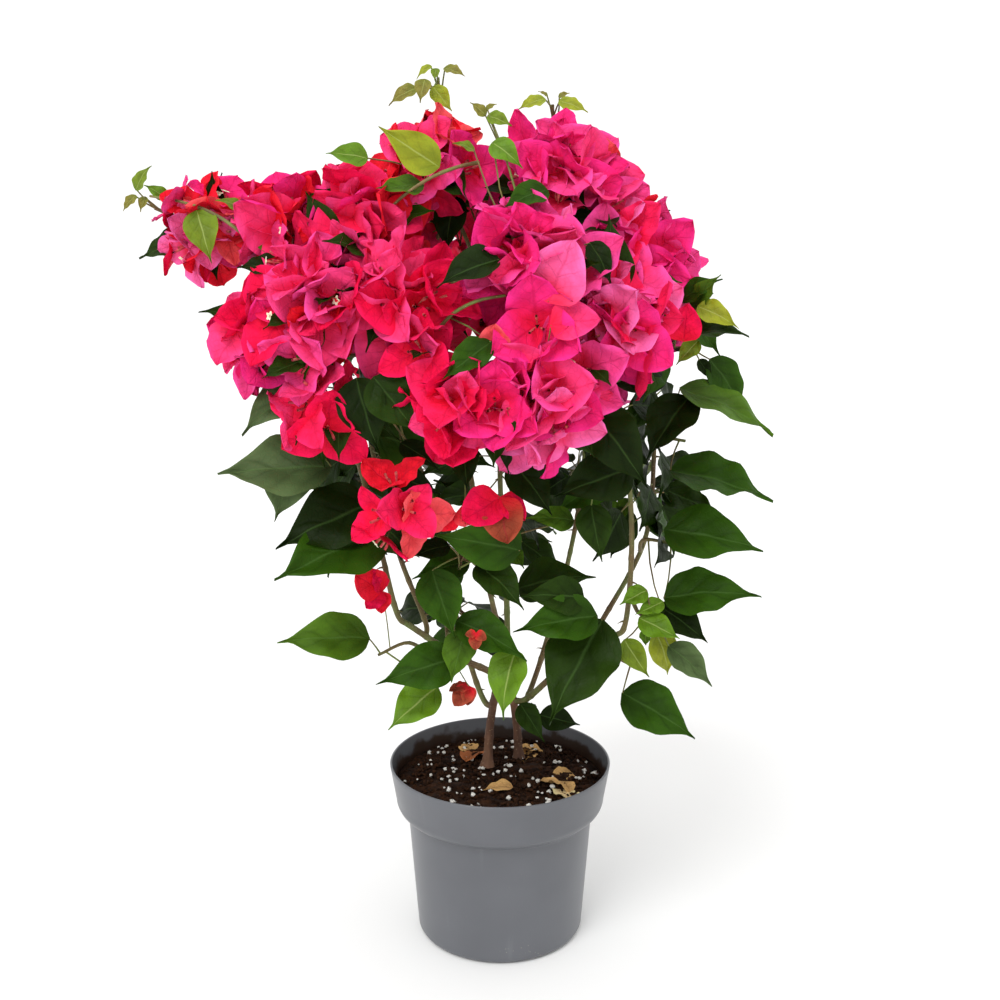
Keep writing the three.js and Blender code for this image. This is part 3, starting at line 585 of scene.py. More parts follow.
class Pile:
    """Many small grids of points, gathered into one mesh with a material for each tone."""

    def __init__(self, *tones):
        self.tones = tones
        self.points, self.quads, self.places, self.tone_of = [], [], [], []
        self.count = 0

    def add(self, points, wrap=False, tone=None):
        """Adds a grid of points, given as an array of rows x columns x 3 in millimetres."""
        rows, columns = points.shape[:2]
        quads, places = grid(rows, columns, wrap)
        index = self.tones.index(tone) if tone else 0
        cell = np.array([index % ATLAS, index // ATLAS])
        self.points.append(points.reshape(-1, 3))
        self.quads.append(quads + self.count)
        self.places.append((cell + GUTTER + (1 - 2 * GUTTER) * places) / ATLAS)
        self.tone_of.append(np.full(len(quads), index))
        self.count += rows * columns

    def made(self, name, looks):
        """The pile as an object, with a look for each tone."""
        mesh = bpy.data.meshes.new(name)
        mesh.from_pydata(np.concatenate(self.points) * MM, [], np.concatenate(self.quads), shade_flat=False)
        mesh.polygons.foreach_set("material_index", np.concatenate(self.tone_of))
        mesh.uv_layers.new(name="OFBake").data.foreach_set("uv", np.concatenate(self.places).ravel())
        for look in looks:
            mesh.materials.append(look)
        mesh.validate()
        return linked(name, mesh)

    def build(self, name, looks, slot, nodes=()):
        """The pile as a piece that stands for CAD nodes."""
        piece = self.made(name, looks)
        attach(piece, BODY)
        if nodes:
            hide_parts(*nodes)


def tube_points(centres, radii, sides, relief=None):
    """Rings round a line of centres. `relief` gives a share to swell by, from turn and distance."""
    centres = np.asarray(centres, dtype=float)
    tangents = np.gradient(centres, axis=0)
    tangents /= np.linalg.norm(tangents, axis=1, keepdims=True)
    u, _ = basis(tangents[0])
    turns = turns_of(sides)
    along = 0.0
    rings = []
    for i, (centre, tangent) in enumerate(zip(centres, tangents)):
        u = across(u, tangent)
        along += np.linalg.norm(centre - centres[max(i - 1, 0)])
        swell = 1 + relief(turns, along) if relief else np.ones(sides)
        rings.append(centre + spoke(u, np.cross(tangent, u), turns) * (radii[i] * swell)[:, None])
    return np.array(rings)


def bent_line(start, end, bow, steps):
    """Points from start to end, bowed aside by the vector `bow` at the middle."""
    share = np.linspace(0, 1, steps)[:, None]
    return start + (end - start) * share + 4 * share * (1 - share) * bow


def blade_points(form, length, dice):
    """A blade at rest, from the origin along +Y, with its face to +Z."""
    t = np.linspace(0.0, 1.0, form.rows)[:, None]  # along the midrib
    s = np.linspace(-1.0, 1.0, form.columns)[None, :]  # from edge to edge
    side, arch = np.abs(s), np.sin(math.pi * t)
    body = np.minimum(t / (1 - form.tail), 1.0)
    peak_at = form.rise / (form.rise + form.fall)
    peak = peak_at ** form.rise * (1 - peak_at) ** form.fall
    outline = body ** form.rise * (1 - body) ** form.fall / peak
    half = outline * form.width * dice(0.86, 1.08) * length / 2
    tip = form.tip_slope * length * np.where(t > 0.5, 1 - t, 0)
    x = np.maximum(half, LEAST_HALF_WIDTH + tip) * s
    phases = [dice(0, math.tau) for _ in range(5)]
    fold = form.fold * np.where(s < 0, dice(0.2, 1.8), dice(0.2, 1.8))
    z = fold * np.abs(x) - form.sag * dice(0.3, 1.7) * length * t ** 3
    z = z - form.belly * length * arch * (1 - side ** 2)
    waves = np.sin(dice(3.5, 6.5) * math.pi * t + phases[0] + np.sign(s) * phases[1])
    z = z + form.ruffle * length * waves * side ** 2 * arch
    dents = np.sin(9 * t + 3.1 * s + phases[2]) + np.sin(14 * t - 4.3 * s + phases[3])
    z = z + form.crumple * length * dents * np.sqrt(t)
    slant = form.veins * t - VEIN_CLIMB * side ** VEIN_BEND
    z = z + form.quilt * length * np.abs(np.sin(math.pi * slant)) * side * arch
    x = x + 0.05 * length * np.sin(phases[4]) * t ** 2
    return np.stack([x, t * length + 0 * s, z], axis=-1)


def placed(points, root, axis, face):
    """A blade's points, moved to its root and turned to its axis and face."""
    return root + points @ np.array([np.cross(axis, face), axis, face])


# ---------- Limbs ----------

def smooth_path(points, steps=24):
    """A centripetal Catmull-Rom curve through points, as many short steps."""
    points = np.asarray(points, dtype=float)
    ends = [2 * points[0] - points[1], *points, 2 * points[-1] - points[-2]]
    line = []
    for p0, p1, p2, p3 in zip(ends, ends[1:], ends[2:], ends[3:]):
        d0, d1, d2 = (math.sqrt(np.linalg.norm(b - a)) for a, b in ((p0, p1), (p1, p2), (p2, p3)))
        leave = ((p1 - p0) / d0 - (p2 - p0) / (d0 + d1) + (p2 - p1) / d1) * d1
        arrive = ((p2 - p1) / d1 - (p3 - p1) / (d1 + d2) + (p3 - p2) / d2) * d1
        for t in np.arange(steps) / steps:
            line.append(p1 + leave * t + (-3 * p1 + 3 * p2 - 2 * leave - arrive) * t ** 2
                        + (2 * p1 - 2 * p2 + leave + arrive) * t ** 3)
    return np.array([*line, points[-1]])


class Limb:
    """A tapering limb along a smooth path. `flare` widens its foot."""

    def __init__(self, points, radii, flare=1.0):
        self.line = smooth_path(points)
        self.radii = radii
        self.flare = flare
        steps = np.linalg.norm(np.diff(self.line, axis=0), axis=1)
        self.reach = np.concatenate([[0], np.cumsum(steps)])
        self.length = self.reach[-1]

    def point(self, share):
        return np.array([np.interp(share * self.length, self.reach, self.line[:, k]) for k in range(3)])

    def direction(self, share):
        return unit(self.point(min(1, share + 0.01)) - self.point(max(0, share - 0.01)))

    def radius(self, share):
        widening = max(0.0, 1 - share * self.length / STEM_FOOT) ** 2
        return blend(*self.radii, share) * (1 + (self.flare - 1) * widening)

    def places(self, bare, count):
        """As many places as count, evenly down from the tip over a share of the length."""
        return [self.point(1 - bare * (i + 0.5) / count) for i in range(count)]


def offshoot(parent, share, path, radii):
    """A limb that leaves its parent's tip along it, or its parent's side at right angles."""
    point = parent.point(share)
    towards = np.asarray(path[0]) - point
    out = parent.direction(1) if share == 1 else across(towards, parent.direction(share))
    start = point if share == 1 else point + out * 0.4 * parent.radius(share)
    collar = point + out * (parent.radius(share) + min(COLLAR, np.linalg.norm(towards) / 3))
    return Limb([start, collar, *path], radii)


def bark_relief(skin, seed):
    """Long uneven ridges that wander round a limb, and swellings at its nodes."""
    dice = Dice(seed)
    phases = [dice(0, math.tau) for _ in range(4)]

    def relief(turns, along):
        wander = 0.6 * math.sin(along / 17 + phases[0])
        ridge = np.sin(skin.ridges * (turns + wander) + phases[1] + 0.8 * math.sin(along / 6 + phases[2]))
        crack = np.sin((skin.ridges * 2 + 1) * (turns - wander) + along / 4 + phases[3])
        from_node = abs((along + seed * 7) % NODE.every - NODE.every / 2)
        return skin.depth * (ridge + 0.5 * crack) + NODE.swell * math.exp(-(from_node / NODE.width) ** 2)

    return relief


def add_limb(pile, limb, skin, seed):
    shares = np.linspace(0, 1, max(4, round(limb.length / skin.step)))
    centres = [limb.point(share) for share in shares]
    radii = [limb.radius(share) for share in shares]
    pile.add(tube_points(centres, radii, skin.sides, bark_relief(skin, seed)), wrap=True)


def add_thorns(pile, limb, seed):
    """Short curved thorns along a cane."""
    dice = Dice(seed)
    for i in range(int(limb.length / THORN.every)):
        share = (i + dice(0.3, 0.7)) * THORN.every / limb.length
        along = limb.direction(share)
        out = across(dice.vector(), along)
        foot = limb.point(share) + out * 0.6 * limb.radius(share)
        tip = foot + out * THORN.length * dice(0.6, 1.1) - along * THORN.hook
        line = bent_line(foot, tip, along * 0.8, len(THORN.radii))
        pile.add(tube_points(line, THORN.radii, TWIG_SIDES), wrap=True)


# ---------- The rule that a mass grows by ----------

def reach_of(mass, direction):
    """How far a mass's space reaches from its heart in a direction."""
    return 1 / np.linalg.norm(direction / np.asarray(mass.size))


def drawn_in(mass, heart, root, length):
    """A flower's root, moved towards the heart as far as its bracts need to keep to the mass's space."""
    way = root - heart
    distance = np.linalg.norm(way)
    limit = reach_of(mass, way / distance) - BRACT_INSIDE * length - SIDE.depth
    return heart + way / distance * min(distance, max(SHORTEST_TWIG, limit))


def pose_of(mass):
    """A mass's heart, the way that it faces, and half of the stretch of its stem that bears twigs."""
    heart = np.array(mass.at, dtype=float) + mass.shift
    face = unit(np.array(mass.face or (heart - CROWN_HEART) * (1, 1, CROWN_FLATNESS), dtype=float))
    core = CORE * min(mass.size) if mass.size else LEAFY_CORE
    return heart, face, core


def bract_piece(place):
    """The piece that bracts at a place belong to, so that none has 200,000 triangles."""
    if place[1] > REAR_FROM:
        return "bracts_rear"
    return "bracts_left" if place[0] < LEFT_TO else "bracts_right"


class Growth:
    """What grows from one seed, gathered in the plant's piles."""

    def __init__(self, piles, seed):
        self.piles = piles
        self.dice = Dice(seed)

    def swayed(self, direction, amount=SWAY):
        return unit(direction + 2 * amount * self.dice.vector())

    def sprays(self, face, spread, count):
        """The directions of `count` sprays, on a golden spiral over a cap round `face`."""
        u, v = basis(face)
        phase = self.dice(0, math.tau)
        heights = [1 - (1 - math.cos(math.radians(spread))) * ((i + 0.5) / count) for i in range(count)]
        return [face * height + math.sqrt(1 - height * height) * spoke(u, v, phase + i * GOLDEN_ANGLE)
                for i, height in enumerate(heights)]

    def lit_face(self, axis, towards, scatter):
        """The way that a blade on an axis faces: to the sun, a little `towards` another way, unevenly."""
        return across(SUN + towards + scatter * self.dice.vector(), axis)

    def tone_at(self, x, mass):
        """A bract tone for a spray: crimson to the left, magenta to the right, or a young one."""
        if self.dice() < mass.young:
            return self.dice.choose(YOUNG_MIX)
        if mass.mix:
            return self.dice.choose(mass.mix)
        magenta_share = min(1.0, max(0.0, (x - CRIMSON_SIDE) / (MAGENTA_SIDE - CRIMSON_SIDE)))
        return self.dice.choose(RIGHT_MIX if self.dice() < magenta_share else LEFT_MIX)

    def tube(self, pile, line, radii, sides, tone=None):
        self.piles[pile].add(tube_points(line, radii, sides), wrap=True, tone=tone)

    def twig(self, start, end, radii=TWIG):
        """A thin twig, bowed a little."""
        bow = self.dice.vector() * TWIG_BOW * np.linalg.norm(end - start)
        line = bent_line(start, end, bow, TWIG_STEPS)
        self.tube("twigs", line, np.linspace(*radii, TWIG_STEPS), TWIG_SIDES)

    def blade(self, piece, form, root, axis, face, length, tone):
        points = blade_points(form, length, self.dice)
        self.piles[piece].add(placed(points, root, axis, face), tone=tone)

    def leaf(self, start, root, axis, face, length, tone):
        """A leaf and the stalk that it hangs by."""
        self.twig(start, root + axis * STALK_IN)
        self.blade("young_leaves" if tone in FRESH_MIX else "leaves", LEAF, root, axis, face, length, tone)

    def shaded_leaf(self, start, root, axis, outward, length):
        face = across(SUN + FACING.shaded * outward, axis)
        self.leaf(start, root, axis, face, length, self.dice.choose(INNER_MIX))

    def star(self, centre, axis):
        """The small five-lobed mouth of a true flower."""
        turns = turns_of(STAR.lobes * 4) + self.dice(0, 2)
        lobes = STAR.radius * (1 - STAR.notch + STAR.notch * np.cos(STAR.lobes * turns))[:, None]
        around = spoke(*basis(axis), turns) * lobes
        rings = [centre + around * share + axis * rise for share, rise in STAR.rings]
        self.piles["true_flowers"].add(np.array(rings), wrap=True, tone="star")

    def bearing(self):
        """How far a flower is rolled round its axis, and how wide it opens, in radians."""
        return self.dice(0, math.tau), math.radians(self.dice(*OPENING))

    def flower(self, root, axis, length, tone, bearing, opening_share=1.0):
        """Three bracts round their slim true flowers."""
        roll, opening = bearing
        u, v = basis(axis)
        for i in range(BRACTS):
            radial = spoke(u, v, roll + i * math.tau / BRACTS)
            rise = opening * opening_share + self.dice(-0.12, 0.12)
            along = math.cos(rise) * axis + math.sin(rise) * radial
            inner = math.sin(rise) * axis - math.cos(rise) * radial
            own_length = length * self.dice(0.92, 1.06)
            self.blade(bract_piece(root), BRACT, root + radial * BRACT_FOOT, along, inner, own_length, tone)
            foot = root + radial * TUBE.foot
            out = unit(axis + TUBE.splay * radial + 0.2 * self.dice.vector())
            tip = foot + out * TUBE.length * length
            line = bent_line(foot, tip, radial * TUBE.bow, len(TUBE.radii))
            self.tube("true_flowers", line, TUBE.radii, TUBE.sides, "tube")
            if self.dice() < STAR.chance:
                self.star(tip, out)

    def sunward(self, towards):
        """A flower's axis, from the way that its twig runs."""
        return unit(self.swayed(towards, FLOWER_LEAN) + SUN * SUN_PULL)

    def flowering_twig(self, mass, heart, start, direction):
        """One flower at the twig's end, as in the solids, and lesser ones that fork off below it."""
        length = self.dice(*mass.bract)
        towards = self.swayed(direction)
        reach = reach_of(mass, towards) - BRACT_INSIDE * length
        root = heart + towards * max(SHORTEST_TWIG, reach)
        axis = self.sunward(towards)
        tone = self.tone_at(root[0], mass)
        self.twig(start, root)
        self.flower(root, axis, length, tone, self.bearing())
        u, v = basis(axis)
        phase = self.dice(0, math.tau)
        for i in range(mass.sides):
            aside = spoke(u, v, phase + i * math.tau / mass.sides + self.dice(-0.4, 0.4))
            side_axis = unit(axis + SIDE.splay * aside * self.dice(0.6, 1.0))
            lesser = length * self.dice(*SIDE.size)
            fork = root - axis * min(SIDE.fork, 0.5 * np.linalg.norm(root - start))
            side_root = drawn_in(mass, heart, fork + side_axis * lesser * SIDE.stalk, lesser)
            self.twig(fork, side_root, PEDICEL)
            self.flower(side_root, side_axis, lesser, tone, self.bearing(), SIDE.opening)

    def leafy_twig(self, mass, start, direction):
        """One leaf at the twig's end, as in the solids, and a small one below it."""
        mix = FRESH_MIX if mass.fresh else LEAF_MIX
        length = mass.leaf * (1 + LEAF_SPREAD * self.dice(-1, 1))
        towards = self.swayed(direction)
        axis = unit(towards - UP * self.dice(*DROOP))
        face = self.lit_face(axis, FACING.out * direction + FACING.up * UP, FACING.scatter)
        root = start + towards * PETIOLE * min(1, length / USUAL_LEAF)
        self.leaf(start, root, axis, face, length, self.dice.choose(mix))
        aside = unit(axis + LESSER_LEAF.stray * self.dice.vector())
        lesser = length * self.dice(*LESSER_LEAF.size)
        face = self.lit_face(aside, FACING.up * UP, FACING.lesser)
        self.leaf(start, start + aside * LESSER_LEAF.stalk, aside, face, lesser, self.dice.choose(mix))

    def shown_blade(self, start, base, tip, tone, lift=0.0):
        """A leaf or bract that has a place of its own. `lift` turns its face from the light to the sky."""
        base = np.array(base, dtype=float)
        length = np.linalg.norm(tip - base)
        axis = unit(tip - base)
        face = across(blend(SUN, UP, lift) + FACING.shown * self.dice.vector(), axis)
        form = BRACT if tone in BRACT_TONES else LEAF
        axis = unit(axis + form.sag * face)
        face = across(face, axis)
        if form is LEAF:
            self.leaf(start, base, axis, face, length, tone)
            return
        if start is not None:
            self.twig(start, base + axis * STALK_IN, PEDICEL)
        self.blade(bract_piece(base), BRACT, base, axis, face, length, tone)

    def inner_leaves(self, mass, heart, face):
        """Dark leaves in the shade behind a mass of bracts."""
        start = heart - face * INNER.foot * min(mass.size)
        for direction in self.sprays(face, USUAL_SPREAD, mass.inner):
            reach = reach_of(mass, direction)
            root = heart + direction * INNER.reach * reach - face * INNER.behind
            axis = unit(direction + INNER.stray * self.dice.vector() - UP * self.dice(*DROOP))
            longest = max(INNER.shortest, reach * (1 - INNER.reach) + INNER.proud)
            length = min(INNER.length * self.dice(0.8, 1.2), longest)
            self.shaded_leaf(start, root, axis, direction, length)

    def mass(self, mass, parent):
        """A mass on a stem of its own, with its shown blades first."""
        heart, face, core = pose_of(mass)
        stem = offshoot(parent, mass.share, [heart - face * core, heart + face * core], MASS_STEM)
        add_limb(self.piles["canes"], stem, MASS_SKIN, int(self.dice(1, 99)))
        bare = 2 * core / stem.length
        stalked = set()  # blades with the same base share a stalk
        for start, (base, *blade) in zip(stem.places(bare, len(mass.shown)), mass.shown):
            self.shown_blade(None if base in stalked else start, base, *blade)
            stalked.add(base)
        directions = self.sprays(face, mass.spread, mass.flowers)
        for start, direction in zip(stem.places(bare, mass.flowers), directions):
            self.flowering_twig(mass, heart, start, direction)
        directions = self.sprays(face, mass.spread, mass.leaves)
        for start, direction in zip(stem.places(bare, mass.leaves), directions):
            self.leafy_twig(mass, start, direction)
        if mass.flowers:
            self.inner_leaves(mass, heart, face)

    def valley(self, one, other):
        """Flowers and leaves in the valley between two masses of bracts that lie close together."""
        hearts, faces, _ = zip(pose_of(one), pose_of(other))
        gap = np.linalg.norm(hearts[1] - hearts[0])
        alone = one.alone or other.alone or {one.name, other.name} in OPEN_VALLEYS
        if alone or gap > VALLEY.widest:
            return
        face = unit(faces[0] + faces[1])
        reach = VALLEY.depth * (reach_of(one, face) + reach_of(other, face)) / 2
        count = round(gap / VALLEY.every)
        for i in range(count):
            length = self.dice(*BRACT_LENGTH) * VALLEY.size
            middle = blend(*hearts, blend(0.5, (i + 0.5) / count, VALLEY.span))
            towards = self.swayed(face, VALLEY.sway)
            root = middle + towards * reach
            axis = self.sunward(towards)
            self.twig(middle - face * VALLEY.foot[0], root)
            bearing = self.bearing()
            self.flower(root, axis, length, self.tone_at(root[0], one), bearing)
            aside = unit(face + VALLEY.stray * self.dice.vector() - UP * VALLEY.droop)
            self.shaded_leaf(middle - face * VALLEY.foot[1], middle + aside * PETIOLE, aside, face,
                             self.dice(*VALLEY.leaf))

    def cane_leaves(self, limb):
        """Leaves along a cane, where it runs up inside the crown."""
        for i in range(int(limb.length / CANE_LEAVES.every)):
            share = min(CANE_LEAVES.last, (i + self.dice(0.2, 0.8)) * CANE_LEAVES.every / limb.length)
            start = limb.point(share)
            if not CANE_LEAVES.above < start[2] < CANE_LEAVES.below:
                continue
            outward = unit((start - CROWN_HEART) * (1, 1, 0))
            aside = np.cross(UP, outward) * (1 if i % 2 else -1)
            out = across(aside + CANE_LEAVES.stray * self.dice.vector(), limb.direction(share))
            axis = unit(out - UP * self.dice(*DROOP))
            scatter = CANE_LEAVES.scatter * self.dice.vector()
            face = across(outward + CANE_LEAVES.sun * SUN + scatter, axis)
            self.leaf(start, start + out * PETIOLE, axis, face,
                      self.dice(*CANE_LEAVES.length), self.dice.choose(INNER_MIX))


def grow_plant():
    """The plant's growth in piles, by the name of the piece that each becomes."""
    piles = {name: Pile() for name in ("woody_stems", "canes", "twigs")}
    piles.update({name: Pile(*LEAF_TONES) for name in ("leaves", "young_leaves")})
    piles.update({name: Pile(*BRACT_TONES) for name in ("bracts_left", "bracts_right", "bracts_rear")})
    piles["true_flowers"] = Pile("tube", "star")
    limbs = {name: Limb(**stem) for name, stem in STEMS.items()}
    for i, limb in enumerate(limbs.values()):
        add_limb(piles["woody_stems"], limb, WOOD_SKIN, i + 3)
    for i, bough in enumerate(BOUGHS):
        limbs[bough.name] = limb = offshoot(limbs[bough.on], bough.share, bough.path, bough.radii)
        add_limb(piles["canes"], limb, CANE_SKIN, i + 11)
        add_thorns(piles["canes"], limb, i + 5)
        if not bough.bare:
            Growth(piles, i + 31).cane_leaves(limb)
    for i, arch in enumerate(ARCHES):
        add_limb(piles["twigs"], Limb(**arch), ARCH_SKIN, i + 51)
    for i, mass in enumerate(MASSES):
        Growth(piles, i + 1).mass(mass, limbs[mass.on])
    blooming = [mass for mass in MASSES if mass.flowers]
    for i, (one, other) in enumerate(combinations(blooming, 2)):
        Growth(piles, i + 201).valley(one, other)
    return piles


# ---------- Pot and potting mix ----------

def arc(centre, size, start, end, steps):
    """Points round an ellipse in a profile, between two angles in degrees."""
    for turn in np.radians(np.linspace(start, end, steps)):
        yield centre[0] + size[0] * math.cos(turn), centre[1] + size[1] * math.sin(turn)


def straight(start, end, steps):
    """Points between two corners of a profile, without the corners."""
    for share in np.arange(1, steps) / steps:
        yield tuple(blend(np.array(start), np.array(end), share))


def pot_profile():
    """The pot's outline from the middle of its underside, up its outside and down its inside."""
    wall, lip, rounding = POT.wall, POT.wall / 2, POT.foot_rounding
    shoulder = (POT.collar_foot - POT.body_top, POT.collar_foot_height - POT.body_top_height)
    lip_height = POT.height - lip
    inner_collar = (POT.collar_foot - wall, POT.collar_foot_height)
    yield from ((HUB, 0), (POT.foot * 0.5, 0))
    yield from arc((POT.foot - rounding, rounding), (rounding, rounding), -90, 0, 9)
    yield from straight((POT.foot, rounding), (POT.body_top, POT.body_top_height), 24)
    yield from arc((POT.body_top, POT.collar_foot_height), shoulder, -90, 0, 12)
    yield from straight((POT.collar_foot, POT.collar_foot_height), (POT.rim, lip_height), 8)
    yield from arc((POT.rim - lip, lip_height), (lip, lip), 0, 180, 9)
    yield from straight((POT.rim - wall, lip_height), inner_collar, 8)
    yield inner_collar
    yield POT.body_top - wall, POT.body_top_height + wall
    yield POT.foot - wall, POT.floor
    yield HUB, POT.floor


def turned(profile, sides):
    """A profile of (radius, height) turned round the upright axis."""
    radius, height = np.array(list(profile)).T[:, :, None]
    turns = turns_of(sides)
    return np.stack([radius * np.cos(turns), radius * np.sin(turns), height + 0 * turns], axis=-1)


def mix_height(radius):
    """The height of the potting mix's surface, which rises a little round the stems."""
    share = np.clip((radius - MIX.flat_radius) / (MIX_RADIUS - MIX.flat_radius), 0, 1)
    return blend(MIX.crown_height, MIX.height, share)


def rough(x, y, scale, seed):
    """Uneven heights between about -1 and 1, from waves in many directions."""
    dice = Dice(seed)
    total = 0 * x
    for i in range(7):
        turn, phase = dice(0, math.pi), dice(0, math.tau)
        pitch = scale * (0.6 + 0.35 * i)
        total = total + np.sin(pitch * (x * math.cos(turn) + y * math.sin(turn)) + phase) / 3
    return total


def mix_points():
    """The potting mix: its rough surface, and the smooth edge and underside that don't show."""
    top = slice(MIX.rings)
    surface = np.linspace(MIX.hub, MIX_RADIUS, MIX.rings)
    radii = np.array([*surface, MIX_RADIUS, MIX_RADIUS - 2, MIX.hub])
    drops = np.array([*(0 * surface), 6, MIX.depth, MIX.depth])
    points = turned(zip(radii, mix_height(radii) - drops), MIX.sides)
    x, y = points[top, :, 0], points[top, :, 1]
    waves = sum(height * rough(x, y, pitch, seed) for height, pitch, seed in MIX.waves)
    points[top, :, 2] += np.clip((MIX_RADIUS - np.hypot(x, y)) / MIX.calm, 0, 1) * (waves - MIX.sink)
    return points


def lump(centre, size, dice):
    """A small uneven clod."""
    tilt = np.linspace(0.12, math.pi - 0.12, 5)[:, None]
    turns = turns_of(6)[None, :] + dice(0, 6)
    stretch = np.array([dice(0.7, 1.3), dice(0.7, 1.3), dice(0.5, 0.9)])
    bumps = 1 + 0.28 * np.sin(3 * tilt + 2 * turns + dice(0, 6)) + 0.22 * np.sin(5 * turns + dice(0, 6))
    ring = np.sin(tilt)
    shape = np.stack([ring * np.cos(turns), ring * np.sin(turns), np.cos(tilt) + 0 * turns], axis=-1)
    return centre + shape * bumps[..., None] * stretch * size


def scatter(count, dice):
    """Places on the potting mix, even over its area."""
    for _ in range(count):
        radius, turn = (MIX_RADIUS - MIX.calm) * math.sqrt(dice()), dice(0, math.tau)
        yield np.array([radius * math.cos(turn), radius * math.sin(turn), mix_height(radius)])


def fallen_blade(place, dice):
    """A dry bract or leaf that lies on the potting mix."""
    place[:2] *= FALLEN_SPREAD
    axis = unit(np.array([dice(-1, 1), dice(-1, 1), 0.05]))
    form = BRACT if dice() < FALLEN_BRACTS else LEAF
    points = blade_points(form, dice(*FALLEN_LENGTH), dice)
    return placed(points, place + UP * 2.5, axis, across(UP + 0.5 * dice.vector(), axis))


def build_pot():
    pot, mix, crumbs, fallen = Pile(), Pile(), Pile("crumb", "perlite"), Pile(*FALLEN_TONES)
    pot.add(turned(pot_profile(), POT.sides), wrap=True)
    mix.add(mix_points(), wrap=True)
    dice = Dice(21)
    for place in scatter(CRUMBS, dice):
        clod = lump(place + UP * dice(-0.5, 0.8), dice(0.8, 2.4) * dice(0.7, 1.2), dice)
        crumbs.add(clod, wrap=True, tone="crumb")
    for place in scatter(PERLITE, dice):
        crumbs.add(lump(place + UP * dice(0.6, 1.6), dice(0.7, 2.2), dice), wrap=True, tone="perlite")
    for place in scatter(FALLEN, dice):
        fallen.add(fallen_blade(place, dice), tone=dice.choose(FALLEN_MIX))
    crumb = earth_look("peat_crumb", "#1E0F07", "#402614", 260.0)
    perlite = earth_look("perlite", "#E4E0D6", "#FBF9F4", 400.0)
    pot.build("nursery_pot", [plastic_look()], "pot_plastic", ["pot"])
    mix.build("peat", [earth_look("peat", "#180B05", "#382010", 120.0)], "potting_mix", ["potting_mix"])
    crumbs.build("crumbs", [crumb, perlite], "potting_mix")
    fallen.build("fallen_bracts", blade_looks(FALLEN_TONES, FALLEN_MARKS), "potting_mix")


# ---------- Materials ----------

def colour(hexed, shade=1.0):
    """A colour written as #RRGGBB, as linear red, green, blue and alpha."""
    parts = [int(hexed[i:i + 2], 16) / 255 for i in (1, 3, 5)]
    linear = [part / 12.92 if part <= 0.04045 else ((part + 0.055) / 1.055) ** 2.4 for part in parts]
    return (*(min(1.0, part * shade) for part in linear), 1.0)


class Look:
    """A material being made: its shader, and short ways to add nodes."""

    def __init__(self, name):
        self.material = bpy.data.materials.new(name)
        self.material.use_nodes = True
        self.tree = self.material.node_tree
        self.shader = self.tree.nodes["Principled BSDF"]

    def set(self, socket, value, node=None):
        """Sets a socket, or links it to a value that comes from a node. It is the shader's unless told."""
        target = (node or self.shader).inputs[socket]
        if isinstance(value, bpy.types.NodeSocket):
            self.tree.links.new(value, target)
        else:
            target.default_value = value

    def node(self, kind, inputs=(), output=0, **settings):
        """Adds a node, sets it up and returns one of its outputs."""
        made = self.tree.nodes.new("ShaderNode" + kind)
        for name, value in settings.items():
            setattr(made, name, value)
        for socket, value in dict(inputs).items():
            self.set(socket, value, made)
        return made.outputs[output]

    def calc(self, operation, *values):
        return self.node("Math", enumerate(values), operation=operation)

    def times(self, a, b, plus=0.0):
        return self.calc("MULTIPLY_ADD", a, b, plus)

    def vector(self, operation, *values):
        return self.node("VectorMath", enumerate(values), operation=operation)

    def parts(self, vector):
        """A vector's x, y and z."""
        return self.node("SeparateXYZ", {0: vector}).node.outputs

    def smooth(self, value, low, high):
        """0 at low, 1 at high and a soft step between."""
        return self.node("MapRange", {"Value": value, "From Min": low, "From Max": high},
                         interpolation_type="SMOOTHSTEP")

    def mix(self, share, a, b):
        return self.node("Mix", {0: share, 6: a, 7: b}, output=2, data_type="RGBA")

    def noise(self, scale, detail, where=None, stretch=None, output=0):
        """Cloudy noise from 0 to 1, on the piece's own coordinates unless told where."""
        where = where or self.where()
        if stretch:
            where = self.vector("MULTIPLY", where, stretch)
        return self.node("TexNoise", {"Vector": where, "Scale": scale, "Detail": detail}, output)

    def cells(self, scale, feature="F1", where=None):
        return self.node("TexVoronoi", {"Vector": where or self.where(), "Scale": scale}, feature=feature)

    def dots(self, scale, size, edge):
        """1 in small dots and 0 between them."""
        return self.smooth(self.cells(scale), size, edge)

    def where(self):
        return self.node("TexCoord", output=3)

    def paint(self, plain, painted, roughness):
        """Sets the colour from nodes, over the plain one that stands for it, and the roughness."""
        self.set("Base Color", plain)
        self.set("Base Color", painted)
        self.set("Roughness", roughness)

    def finish(self, plain, painted, roughness, height, strength, depth):
        """Paints the material, gives it a relief and hands it over."""
        self.paint(plain, painted, roughness)
        self.set("Normal", self.node("Bump", {"Height": height, "Strength": strength, "Distance": depth}))
        return self.material


def blade_place(look, waver):
    """The place on a blade: how far aside of its midrib, and how far along it, from 0 to 1."""
    places = look.node("UVMap", uv_map="OFBake")
    cell = look.vector("FRACTION", look.vector("MULTIPLY", places, (ATLAS, ATLAS, 1)))
    stretch = 1 / (1 - 2 * GUTTER)
    back = -GUTTER * stretch
    local = look.vector("MULTIPLY_ADD", cell, (stretch, stretch, 1), (back, back, 0))
    cloud = look.noise(3.5, 1.0, local, output="Color")
    drift = look.vector("MULTIPLY_ADD", cloud, (waver, waver, 0), (-waver / 2, -waver / 2, 0))
    x, along, _ = look.parts(look.vector("ADD", local, drift))
    return local, look.calc("ABSOLUTE", look.times(x, 2.0, -1.0)), along


